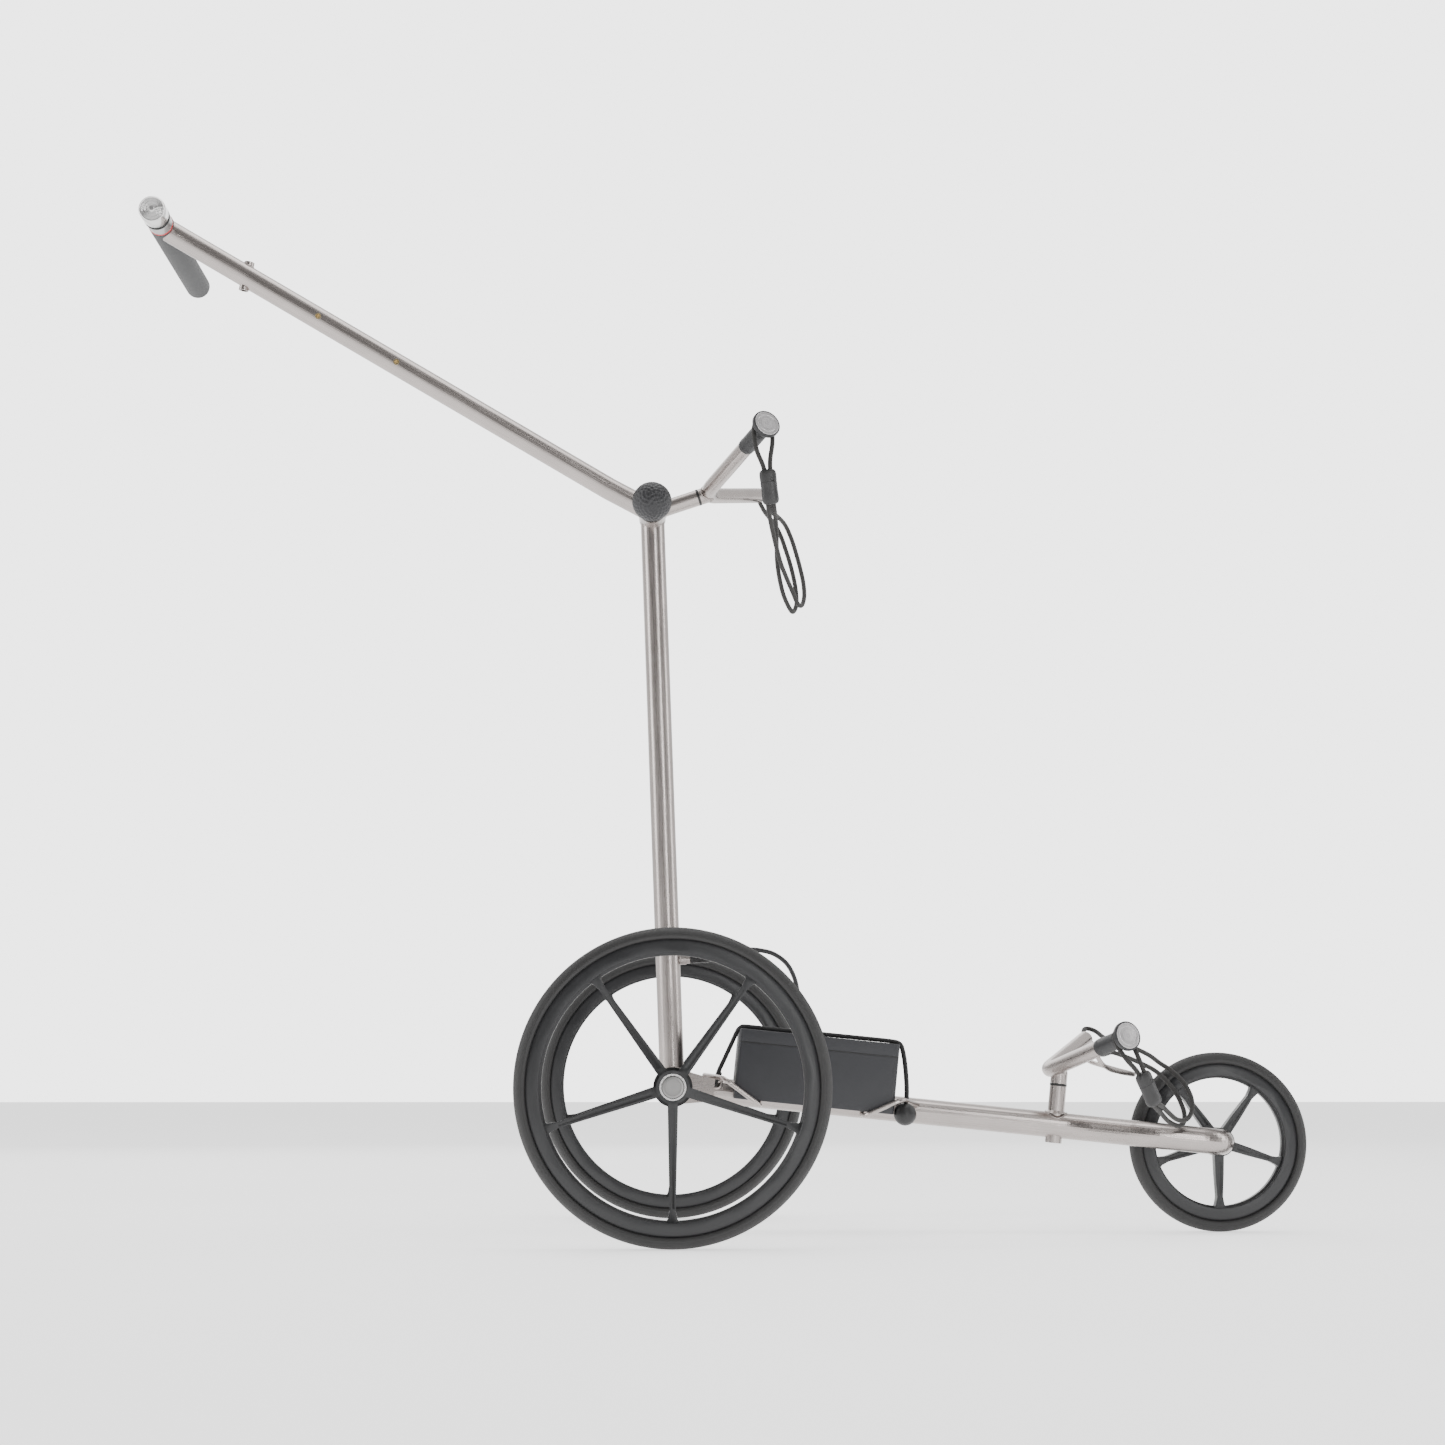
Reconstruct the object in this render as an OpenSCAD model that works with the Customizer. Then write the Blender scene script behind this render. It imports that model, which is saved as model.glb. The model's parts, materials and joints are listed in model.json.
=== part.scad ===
// Three-wheel titanium electric golf trolley, shown without a bag.
// Millimetres, +X forward, +Y to the trolley's left, +Z up.
// The origin is on the ground, under the middle of the trolley.

/* [Rear wheels] */
// Diameter of a rear wheel over its tyre
rear_wheel_d = 305; // [280:1:330]
// Distance between the middles of the two rear wheels
track = 576; // [540:2:620]
// Width of a rear tyre
rear_tyre_w = 32; // [28:1:38]

/* [Front wheel] */
// Diameter of the front wheel over its tyre
front_wheel_d = 188; // [170:1:200]
// Width of the front tyre
front_tyre_w = 27; // [24:1:28]
// Distance from the rear axle to the front axle, seen from the side
wheelbase = 578; // [560:1:620]

/* [Wheel style] */
// Number of spokes in each wheel
spokes = 5; // [4:1:7]
// Width of a spoke beside the hub
spoke_w_hub = 10; // [8:0.5:12]
// Width of a spoke beside the rim
spoke_w_rim = 6; // [5:0.5:8]

/* [Frame] */
// Diameter of the upright main tube
main_tube_d = 26; // [24:1:28]
// Diameter of the lower tube
lower_tube_d = 27; // [25:1:29]
// Wall of the frame tubes
tube_wall = 1.5; // [1:0.25:2.5]
// Backward lean of the main tube from upright, in degrees
mast_lean = 2.16; // [0:0.1:5]
// Distance from the rear axle to the handle hinge
mast_l = 614; // [580:1:640]

/* [Handle] */
// Diameter of the handle tube
handle_tube_d = 24; // [22:1:25]
// Rise of the handle at its root, in degrees
handle_rise = 28; // [24:0.5:32]
// Extra rise past the gentle bend near the root, in degrees
handle_bend = 2.6; // [1:0.1:5]
// Straight length of the handle past that bend
handle_l = 561; // [520:1:580]
// Diameter of the soft grip
grip_d = 27.5; // [26:0.5:30]

/* [Battery] */
// Length of the battery case
battery_l = 167.5; // [150:0.5:175]
// Width of the battery case
battery_w = 104; // [90:1:120]
// Height of the battery case with its lid
battery_h = 73; // [66:0.5:80]

/* [Bag supports] */
// Diameter of the fork tubes
fork_tube_d = 16.8; // [16:0.2:18]
// Length of a fork's arm tubes from the crotch to their ends
fork_arm_l = 128; // [120:1:135]
// Angle of a fork arm to the middle of its fork, in degrees
fork_half_angle = 59; // [56:0.2:62]

/* [Hidden] */
$fn = 64;
rear_r = rear_wheel_d / 2;
front_r = front_wheel_d / 2;
wheel_y = track / 2;
eps = 0.01;
run_gap = 0.05;
slip_gap = 0.3;

// The handle hinge, seen from the rear axle
hinge = [-mast_l * sin(mast_lean), 0, mast_l * cos(mast_lean)];
// The handle tube stands beside the main tube, so that it folds past it
handle_y = -26;
handle_root = 48;
handle_bend_r = 200;
handle_run = handle_root + handle_bend_r * sin(handle_bend) + handle_l * cos(handle_bend);
handle_lift = handle_bend_r * (1 - cos(handle_bend)) + handle_l * sin(handle_bend);
bar = [hinge[0] - handle_run * cos(handle_rise) + handle_lift * sin(handle_rise), 0,
       hinge[2] + handle_run * sin(handle_rise) + handle_lift * cos(handle_rise)];
dial_r = 14.2;
// Place of the rear axle: the middle of the trolley's length is at X = 0
axle_x = -((bar[0] - dial_r) + (wheelbase + front_r)) / 2;

// The lower tube falls from the rear axle to the front axle
front_drop = rear_r - front_r;
lower_fall = asin(front_drop / norm([wheelbase, front_drop]));
lower_l = norm([wheelbase, front_drop]);
lower_r = lower_tube_d / 2;
offset_start = 418;
offset_bend_r = 60;
offset_angle = 33;
lower_offset = 40;
offset_slant = (lower_offset - 2 * offset_bend_r * (1 - cos(offset_angle))) / sin(offset_angle);
offset_l = 2 * offset_bend_r * sin(offset_angle) + offset_slant * cos(offset_angle);
elbow_r = 24;
front_hub_half = 15;

// Rear axle and drive
axle_tube_r = 17;
axle_tube_half = 250;
shaft_r = 6;
coupler_r = 19;
foot_half = 13.2;
foot_r = 20;
ear_in = foot_half + slip_gap;
ear_y = 24;

// Bag supports
fork_r = fork_tube_d / 2;
socket_r = 8.75;
stem_r = 6.5;
ring_h = 2.4;
fork_bend_r = 40;
// How far the middle of the bend lies past the point where the two arms' lines cross
fork_bend_in = fork_bend_r / sin(fork_half_angle) - fork_bend_r;
sleeve_start = fork_arm_l - 21;
sleeve_l = 51;
sleeve_r = 8.9;
neck_r = 7.3;
pad_r = 15.2;
disc_r = 13.7;
disc_in = 1;
upper_socket_rise = 18.5;
upper_socket_l = 51.5;
upper_socket_lift = 4;
upper_vee_rise = 28.7;
upper_vee_at = 7.2;
upper_yaw = -1.6;
upper_roll = -4.3;
lower_socket_s = 407.2;
lower_socket_l = 41.5;
lower_socket_under = 18.5;
lower_vee_rise = 30.1;
lower_vee_back = 15.6;
lower_vee_up = 12.9;
lower_yaw = -1.4;
lower_roll = 1.9;

// Battery, in the lower tube's own directions: along it and square to it
battery_s = 64.5;
battery_n = -6;
lid_h = 13.7;
case_wall = 2.5;
channel_half = 15.5;
channel_top = 14.2;

// ---------- frames ----------

module from_axle() translate([axle_x, 0, rear_r]) children();
module from_hinge() from_axle() translate(hinge) children();
module along_lower() from_axle() rotate([0, lower_fall, 0]) children();
module along_mast() from_axle() rotate([0, -mast_lean, 0]) children();
module along_handle() from_hinge() translate([0, handle_y, 0]) rotate([0, 180 + handle_rise, 0])
  rotate([90, 0, 0]) children();
module at_bar() from_axle() translate(bar) children();
module along_y() rotate([-90, 0, 0]) children();
module along_x() rotate([0, 90, 0]) children();

// ---------- shared shapes ----------

// A solid disc or tube along +Y from y0 to y1
module y_disc(r, y0, y1) translate([0, y0, 0]) along_y() cylinder(r = r, h = y1 - y0);
module y_tube(r_out, r_in, y0, y1) difference() {
  y_disc(r_out, y0, y1);
  y_disc(r_in, y0 - 1, y1 + 1);
}

// The same shape on both sides of the middle plane
module both_sides() for (side = [-1, 1]) scale([1, side, 1]) children();

// A rectangle with round corners
module round_rect(w, h, r) translate([r, r]) {
  square([w - 2 * r, h - 2 * r]);
  for (x = [0, w - 2 * r], y = [0, h - 2 * r]) translate([x, y]) circle(r = r);
  translate([-r, 0]) square([w, h - 2 * r]);
  translate([0, -r]) square([w - 2 * r, h]);
}

// ---------- cords ----------

function unit(v) = v / norm(v);
// Points on a smooth curve through a route: each step is a cubic between two route points
function tangent(p, i) = unit(p[min(i + 1, len(p) - 1)] - p[max(i - 1, 0)]);
function step_point(p, i, t) = let (
  l = norm(p[i + 1] - p[i]),
  a = p[i], b = p[i + 1], ta = tangent(p, i) * l, tb = tangent(p, i + 1) * l)
  a * (2 * t * t * t - 3 * t * t + 1) + ta * (t * t * t - 2 * t * t + t)
  + b * (3 * t * t - 2 * t * t * t) + tb * (t * t * t - t * t);
function curve(p, steps) = concat(
  [for (i = [0 : len(p) - 2], k = [0 : steps - 1]) step_point(p, i, k / steps)], [p[len(p) - 1]]);
// A direction square to each stretch, carried along without twist
function carried(p, i, n) = let (t = tangent(p, i), m = unit(n - t * (n * t)))
  i == len(p) - 1 ? [m] : concat([m], carried(p, i + 1, m));
function start_normal(t) = abs(t[2]) < 0.8 ? cross(t, [0, 0, 1]) : cross(t, [1, 0, 0]);

// A closed tube swept along the points p
module cord(p, r, sides) {
  n = carried(p, 0, unit(start_normal(tangent(p, 0))));
  rings = len(p);
  pts = [for (i = [0 : rings - 1]) let (t = tangent(p, i), b = cross(t, n[i]))
    for (k = [0 : sides - 1]) p[i] + r * (cos(360 * k / sides) * n[i] + sin(360 * k / sides) * b)];
  walls = [for (i = [0 : rings - 2], k = [0 : sides - 1]) let (j = (k + 1) % sides)
    each [[i * sides + k, (i + 1) * sides + k, (i + 1) * sides + j],
          [i * sides + k, (i + 1) * sides + j, i * sides + j]]];
  first = [for (k = [0 : sides - 1]) k];
  last = [for (k = [sides - 1 : -1 : 0]) (rings - 1) * sides + k];
  polyhedron(points = pts, faces = concat([first], walls, [last]));
}

// A bent wire: straight runs through the points, with each corner cut short
function lerp(a, b, t) = a + (b - a) * t;
function eased(a, b, c, d) = [for (t = [0 : 0.25 : 1])
  lerp(lerp(b + unit(a - b) * d, b, t), lerp(b, b + unit(c - b) * d, t), t)];
function wire_line(p, d) = concat([p[0]],
  [for (i = [1 : len(p) - 2]) each eased(p[i - 1], p[i], p[i + 1], d)], [p[len(p) - 1]]);
module wire(p, r, corner) cord(wire_line(p, corner), r, 12);

// ---------- frame ----------

// The middle line of the lower tube: straight, offset by two bends, then an elbow to the hub
function arc(centre, r, a0, a1, steps) = [for (i = [0 : steps])
  let (a = a0 + (a1 - a0) * i / steps) centre + r * [cos(a), sin(a), 0]];
offset_end = offset_start + offset_l;
elbow_at = lower_l - elbow_r;
lower_line = concat([[26, 0, 0]],
  arc([offset_start, -offset_bend_r, 0], offset_bend_r, 90, 90 - offset_angle, 8),
  arc([offset_end, offset_bend_r - lower_offset, 0], offset_bend_r, -90 - offset_angle, -90, 8),
  arc([elbow_at, elbow_r - lower_offset, 0], elbow_r, -90, 0, 12),
  [[lower_l, -front_hub_half - 1.3, 0]]);
module lower_tube() color("silver") along_lower() cord(lower_line, lower_r, 36);

// Two ears that join the lower tube to the axle tube, either side of the mast's foot
module axle_ears() color("silver") along_lower() difference() {
  for (y = [-ear_y, ear_in]) translate([0, y, 0]) along_y() linear_extrude(height = ear_y - ear_in) {
    circle(r = foot_r);
    polygon([[0, -foot_r + 0.5], [44, -lower_r + 2], [44, lower_r - 2], [0, foot_r - 0.5]]);
  }
  y_disc(axle_tube_r, -40, 40);
  translate([26, 0, 0]) along_x() cylinder(r = lower_r, h = 40);
}

module axle_tube() color("silver") from_axle()
  y_tube(axle_tube_r, axle_tube_r - tube_wall, -axle_tube_half, axle_tube_half);

// One sealed motor with its gearbox, and one shaft bearing, inside each half of the axle tube
module drive_motors() color("dimgray") from_axle() both_sides() {
  y_disc(axle_tube_r - tube_wall - slip_gap, 50, 190);
  y_disc(axle_tube_r - tube_wall - slip_gap - 1, 190, 232);
}
module axle_bearings() color("gray") from_axle() both_sides()
  y_tube(axle_tube_r - tube_wall, shaft_r + run_gap, 238, 249);

// Lower bag socket: a sleeve through the lower tube
module at_lower_socket() along_lower() translate([lower_socket_s, 0, 0]) rotate([lower_roll, 0, 0])
  children();
module lower_socket() color("silver") at_lower_socket() difference() {
  union() {
    translate([0, 0, -lower_socket_under]) cylinder(r = socket_r, h = lower_socket_under + lower_socket_l);
    translate([0, 0, lower_r - 1]) cylinder(r1 = socket_r + 2.5, r2 = socket_r, h = 3);
  }
  translate([0, 0, lower_socket_l - 28]) cylinder(r = stem_r + run_gap, h = 30);
}

// Wire cradles that the battery case sits in, one half mirrored to the other side
wire_r = 2.5;
module cradle_rear() color("silver") from_axle() {
  both_sides() wire([[34, 3, 11.5], [53, 57, 8.5], [91, 57, -20], [91, 11, -19]], wire_r, 8);
  translate([46, -16.5, 3.5]) along_y() rotate_extrude() translate([5.5, 0]) circle(r = 1.7);
}
module cradle_front() color("silver") from_axle() both_sides()
  wire([[259, 10, -20], [239, 57, -13.5], [200, 57, -30.5], [200, 10, -30]], wire_r, 8);

// ---------- battery ----------

module battery_block(n0, h, inset) along_lower()
  translate([battery_s + inset, -battery_w / 2 + inset, n0])
  linear_extrude(height = h) round_rect(battery_l - 2 * inset, battery_w - 2 * inset, 3);
module tube_channel(grow) along_lower()
  translate([battery_s - 5, -channel_half - grow, battery_n - 5])
  cube([battery_l + 10, 2 * (channel_half + grow), channel_top - battery_n + 5 + grow]);

module battery_case() color([0.2, 0.2, 0.22]) difference() {
  battery_block(battery_n, battery_h - lid_h, 0);
  difference() {
    battery_block(battery_n + case_wall, battery_h - lid_h, case_wall);
    tube_channel(case_wall);
  }
  tube_channel(0);
}
module battery_lid() color([0.22, 0.22, 0.24]) difference() {
  battery_block(battery_n + battery_h - lid_h, lid_h, 0);
  battery_block(battery_n + battery_h - lid_h - 1, lid_h + 1 - case_wall, case_wall);
}
module battery_cells() color("steelblue")
  battery_block(channel_top + case_wall + 1, battery_n + battery_h - channel_top - 2 * case_wall - 2,
                case_wall + 1);
battery_top = battery_n + battery_h;
gland_at = [130, -16, battery_top];
module lead_gland() color([0.15, 0.15, 0.15]) along_lower() translate(gland_at) difference() {
  union() {
    cylinder(r = 6, h = 3);
    cylinder(r1 = 4.6, r2 = 3.6, h = 8);
  }
  translate([0, 0, 0.8]) cylinder(r = 2.5, h = 8);
}

// ---------- lead and strap ----------

// Places, from the rear axle, that the lead passes on its way from the plug to the gland
lead_route = [[49.9, 0, 135.8], [58, 0, 138], [67, -1, 141], [80, -2, 144], [94, -4, 143],
  [108, -6, 139], [121, -9, 129], [129, -12, 114], [133, -14, 96], [136, -16, 77], [136.5, -16, 58]];
lead_r = 2.4;
module battery_lead() color([0.25, 0.25, 0.26]) from_axle() cord(curve(lead_route, 1), lead_r, 8);

// Elastic battery strap: two strands from the eye, over the lid and down to the ball
strap_r = 2.2;
strap_route = [[46, -17, 6], [49, -18, 16], [55, -20, 29], [61.5, -23, 43], [68, -26, 57],
  [71, -28, 62], [75, -29, 63.5], [92, -30, 62], [127, -31, 58.5], [162, -32, 55],
  [197, -33, 51.5], [230, -34, 48], [238, -34.5, 45.5], [241, -35, 39], [243.5, -36, 25],
  [245, -37, 5], [245, -38, -10], [244, -39.5, -18]];
function beside(p, d) = [for (q = p) q + [0, d, 0]];
module battery_strap() color([0.12, 0.12, 0.12]) from_axle()
  for (d = [-2.6, 2.6]) cord(beside(strap_route, d), strap_r, 8);
module strap_ball() color([0.14, 0.14, 0.14]) from_axle() translate([242.6, -45, -29])
  sphere(r = 11.8);

// Front axle: a bolt in the elbow's end, with a flange and a cap
module front_axle() color("gray") from_axle() translate([wheelbase, 0, -front_drop]) {
  y_disc(shaft_r, -front_hub_half - 1, front_hub_half + 4);
  y_disc(9, -front_hub_half - 1.3, -front_hub_half - slip_gap);
  y_disc(9, front_hub_half + slip_gap, front_hub_half + 5);
}

// ---------- mast ----------

barrel_r = 15;
barrel_near = -13;
barrel_far = 15;
foot_plug = 30;
barrel_plug = 22;
module main_tube() color("silver") along_mast() {
  difference() {
    translate([0, 0, foot_r - 2.5]) cylinder(r = main_tube_d / 2, h = mast_l - foot_r - 3.5);
    translate([0, 0, foot_plug])
      cylinder(r = main_tube_d / 2 - tube_wall, h = mast_l - foot_plug - barrel_plug);
    y_disc(foot_r - 1, -foot_plug, foot_plug);
    translate([0, 0, mast_l]) y_disc(barrel_r - 0.5, -foot_plug, foot_plug);
  }
  y_tube(foot_r - 0.5, axle_tube_r + run_gap, -foot_half, foot_half);
}
module mast_barrel() color("silver") from_hinge()
  y_tube(barrel_r - 0.5, shaft_r, barrel_near, barrel_far);
module hinge_bolt() color("gray") from_hinge() {
  y_disc(shaft_r, -62, barrel_far);
  y_disc(10, barrel_far, barrel_far + 4);
}
module at_upper_socket() from_hinge() translate([0, 0, upper_socket_lift])
  rotate([upper_roll, -upper_socket_rise, upper_yaw]) along_x() children();
module upper_socket() color("silver") difference() {
  at_upper_socket() translate([0, 0, 6]) cylinder(r = socket_r, h = upper_socket_l - 6);
  at_upper_socket() translate([0, 0, upper_socket_l - 28]) cylinder(r = stem_r + run_gap, h = 30);
  from_hinge() y_disc(barrel_r - 0.5, -40, 40);
}
lead_socket_z = 133.5;
module at_lead_socket() along_mast() translate([0, 0, lead_socket_z]) along_x() children();
module lead_socket() color("silver") at_lead_socket() difference() {
  union() {
    translate([0, 0, main_tube_d / 2 - 2]) cylinder(r = 6, h = 8.5);
    translate([0, 0, main_tube_d / 2 + 6.5]) cylinder(r = 5, h = 4);
  }
  translate([0, 0, main_tube_d / 2 + 2.5]) cylinder(r = 3.5, h = 20);
}
module lead_plug() color([0.12, 0.12, 0.12]) at_lead_socket() {
  translate([0, 0, main_tube_d / 2 + 3]) cylinder(r = 3.5, h = 9);
  translate([0, 0, main_tube_d / 2 + 10.8]) cylinder(r = 5.2, h = 19);
  translate([0, 0, main_tube_d / 2 + 29.8]) cylinder(r1 = 4.2, r2 = 3, h = 11);
}

// ---------- handle ----------

// The middle line of the handle tube, with its gentle bend near the root
bend_end = [handle_root + handle_bend_r * sin(handle_bend), -handle_bend_r * (1 - cos(handle_bend)), 0];
function handle_line(from, to) = concat([[from, 0, 0]],
  arc([handle_root, -handle_bend_r, 0], handle_bend_r, 90, 90 - handle_bend, 3),
  [bend_end + to * [cos(handle_bend), -sin(handle_bend), 0]]);
module after_handle() translate(bend_end) rotate([0, 0, -handle_bend]) translate([handle_l, 0, 0])
  children();
bar_core_r = 11;
bar_bore_r = 8.5;
module handle_tube() color("silver") difference() {
  along_handle() difference() {
    cord(handle_line(10, handle_l - 8), handle_tube_d / 2, 48);
    cord(handle_line(24, handle_l - 22), handle_tube_d / 2 - tube_wall, 48);
  }
  at_bar() y_disc(bar_core_r, -80, 40);
  from_hinge() y_disc(barrel_r, -60, 10);
  at_inserts() translate([0, 0, -6]) cylinder(r = 3.3, h = 12);
  at_sleeve() translate([0, 0, -20]) cylinder(r = 5.3, h = 40);
}
module handle_barrel() color("silver") from_hinge()
  y_tube(barrel_r, shaft_r + run_gap, -39, barrel_near - slip_gap);

// The clamp knob: a dimpled ball, the size of a golf ball, on a short neck
knob_y = -78;
knob_r = 21;
module hinge_knob() color([0.2, 0.2, 0.21]) from_hinge() difference() {
  union() {
    translate([0, knob_y, 0]) sphere(r = knob_r);
    y_disc(9, -62, -39 - slip_gap);
    y_disc(12, -42.5, -39 - slip_gap);
  }
  y_disc(shaft_r + run_gap, -64, -30);
}

// Cross bar at the handle's end, with the soft grip on it and the speed dial at its near end
bar_near = -60;
bar_far = 198;
grip_near = -39;
grip_far = 205;
module cross_bar() color("gray") at_bar() difference() {
  y_disc(bar_core_r, bar_near, bar_far);
  y_disc(bar_bore_r, bar_near - 1, bar_far + 1);
}
module grip() color([0.28, 0.28, 0.3]) difference() {
  at_bar() union() {
    y_disc(grip_d / 2, grip_near, grip_far - 5);
    translate([0, grip_far - 5, 0]) along_y() rotate_extrude() {
      square([grip_d / 2 - 5, 5]);
      intersection() {
        translate([grip_d / 2 - 5, 0]) circle(r = 5);
        square([grip_d, 5]);
      }
    }
  }
  at_bar() y_disc(bar_core_r, grip_near - 1, bar_far);
  along_handle() after_handle() translate([-60, 0, 0]) along_x() cylinder(r = handle_tube_d / 2, h = 60);
}
module grip_collar() color("lightgray") at_bar() y_tube(13.3, bar_core_r, -59, -41.5);
module red_ring() color("crimson") at_bar() y_tube(13.6, bar_core_r, -41.5, grip_near);
dial_shaft_r = 3;
module speed_sensor() color("darkgreen") at_bar()
  y_tube(bar_bore_r - slip_gap, dial_shaft_r + run_gap, bar_near + 3, bar_near + 17);
module speed_dial() color("silver") at_bar() {
  y_disc(dial_shaft_r, -61, bar_near + 12);
  y_disc(dial_r - 0.8, -92, -91);
  y_disc(dial_r, -91, -69);
  y_disc(dial_r - 1.2, -69, -60.5);
}
module dial_rings() color([0.1, 0.1, 0.1]) at_bar() {
  y_tube(dial_r, dial_r - 1.2, -68.5, -66.5);
  y_tube(dial_r, dial_r - 1.2, -62.5, -60.8);
}
// Small sleeve through the handle tube for an accessory, and two threaded inserts
sleeve_back = 107;
sleeve_tilt = 11;
insert_back = [199.5, 298.5];
module at_sleeve() along_handle() after_handle() translate([-sleeve_back, 0, 0])
  rotate([0, 0, handle_rise + handle_bend - sleeve_tilt - 90]) along_x() children();
module at_inserts() for (back = insert_back) along_handle() after_handle()
  translate([-back, 0, handle_tube_d / 2]) children();
module accessory_sleeve() color("silver") at_sleeve() difference() {
  translate([0, 0, -16]) cylinder(r = 5.3, h = 32);
  translate([0, 0, -17]) cylinder(r = 3.5, h = 34);
}
module thread_inserts() color("goldenrod") at_inserts() difference() {
  translate([0, 0, -5]) cylinder(r = 3.3, h = 5.6);
  translate([0, 0, -4.5]) cylinder(r = 2.1, h = 6);
}

// ---------- bag forks ----------

// The middle line of a fork's tube, in the XY plane: two arms either side of +X and the bend between
function arm_point(side, at) = at * [cos(fork_half_angle), side * sin(fork_half_angle), 0];
fork_line = concat([arm_point(-1, sleeve_start)],
  arc([fork_bend_r / sin(fork_half_angle), 0, 0], fork_bend_r, 270 - fork_half_angle,
      90 + fork_half_angle, 12),
  [arm_point(1, fork_arm_l)]);
// A place on one arm of a fork: side -1 is the near arm, side 1 the far one
module on_arm(side, at) rotate([0, 0, side * fork_half_angle]) translate([at, 0, 0])
  along_x() children();
// Rubber sleeve on the near arm, with a neck and a round pad for the cord to hook over
module near_sleeve() on_arm(-1, sleeve_start) difference() {
  rotate_extrude() polygon([[0, 0], [sleeve_r, 0], [sleeve_r, sleeve_l - 18],
    [neck_r, sleeve_l - 15], [neck_r, sleeve_l - 9.5], [pad_r - 1, sleeve_l - 6],
    [pad_r, sleeve_l - 4.5], [pad_r, sleeve_l - 0.8], [pad_r - 0.8, sleeve_l], [0, sleeve_l]]);
  translate([0, 0, -1]) cylinder(r = fork_r - 1.5, h = fork_arm_l - sleeve_start + 1);
  translate([0, 0, sleeve_l - disc_in]) cylinder(r = disc_r, h = 2);
}
// Plug in the far arm's open end, where both ends of the cord are held
module far_plug() on_arm(1, fork_arm_l - 12) cylinder(r = fork_r - 1.5, h = 13);
module pad_disc() on_arm(-1, sleeve_start + sleeve_l - disc_in) cylinder(r = disc_r, h = disc_in + 0.2);
module fork_arms() difference() {
  union() {
    cord(fork_line, fork_r, 40);
    on_arm(-1, sleeve_start - 2) cylinder(r = fork_r - 1.5, h = fork_arm_l - sleeve_start + 2);
  }
  on_arm(1, fork_arm_l - 12) cylinder(r = fork_r - 1.5, h = 14);
}

module at_upper_vee() at_upper_socket() translate([0, 0, upper_socket_l + upper_vee_at])
  rotate([0, -90, 0]) rotate([0, upper_socket_rise - upper_vee_rise, 0]) children();
module upper_ring() color([0.1, 0.1, 0.1]) at_upper_socket() difference() {
  translate([0, 0, upper_socket_l + eps]) cylinder(r = socket_r + 0.3, h = ring_h);
  translate([0, 0, upper_socket_l - 1]) cylinder(r = stem_r + run_gap, h = 6);
}
module upper_fork() color("silver") {
  at_upper_socket() {
    translate([0, 0, upper_socket_l - 26]) cylinder(r = stem_r, h = 30);
    translate([0, 0, upper_socket_l + ring_h + slip_gap])
      cylinder(r = socket_r, h = upper_vee_at + fork_bend_in - ring_h - 2);
  }
  at_upper_vee() fork_arms();
}
module upper_sleeves() color([0.2, 0.2, 0.21]) at_upper_vee() {
  near_sleeve();
  far_plug();
}
module upper_disc() color("lightgray") at_upper_vee() pad_disc();

module at_lower_fork() at_lower_socket() translate([0, 0, lower_socket_l]) rotate([0, 0, lower_yaw])
  children();
module at_lower_vee() at_lower_fork() translate([-lower_vee_back, 0, lower_vee_up])
  rotate([0, -(lower_vee_rise + lower_fall), 0]) children();
module lower_ring() color([0.1, 0.1, 0.1]) at_lower_fork() difference() {
  translate([0, 0, eps]) cylinder(r = socket_r + 0.3, h = ring_h);
  translate([0, 0, -1]) cylinder(r = stem_r + run_gap, h = 6);
}
module lower_fork() color("silver") {
  at_lower_fork() {
    translate([0, 0, -26]) cylinder(r = stem_r, h = 30);
    translate([0, 0, ring_h + slip_gap]) cylinder(r = socket_r, h = lower_vee_up - ring_h);
    translate([0, 0, lower_vee_up]) sphere(r = socket_r);
  }
  at_lower_vee() fork_arms();
}
module lower_sleeves() color([0.2, 0.2, 0.21]) at_lower_vee() {
  near_sleeve();
  far_plug();
}
module lower_disc() color("lightgray") at_lower_vee() pad_disc();
// Bent wire under the lower fork that a bag's foot stands on
module foot_rest() color("silver") from_axle()
  wire([[437, -82, 34], [444, -76, 23], [456, -56, 17], [472, -36, 14], [488, -14, 12],
        [491, 14, 13], [479, 36, 17], [467, 52, 21], [453, 66, 26], [442, 78, 36]], 2.4, 6);

// ---------- bungee cords, hanging free on the forks ----------

cord_r = 2.5;
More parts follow.
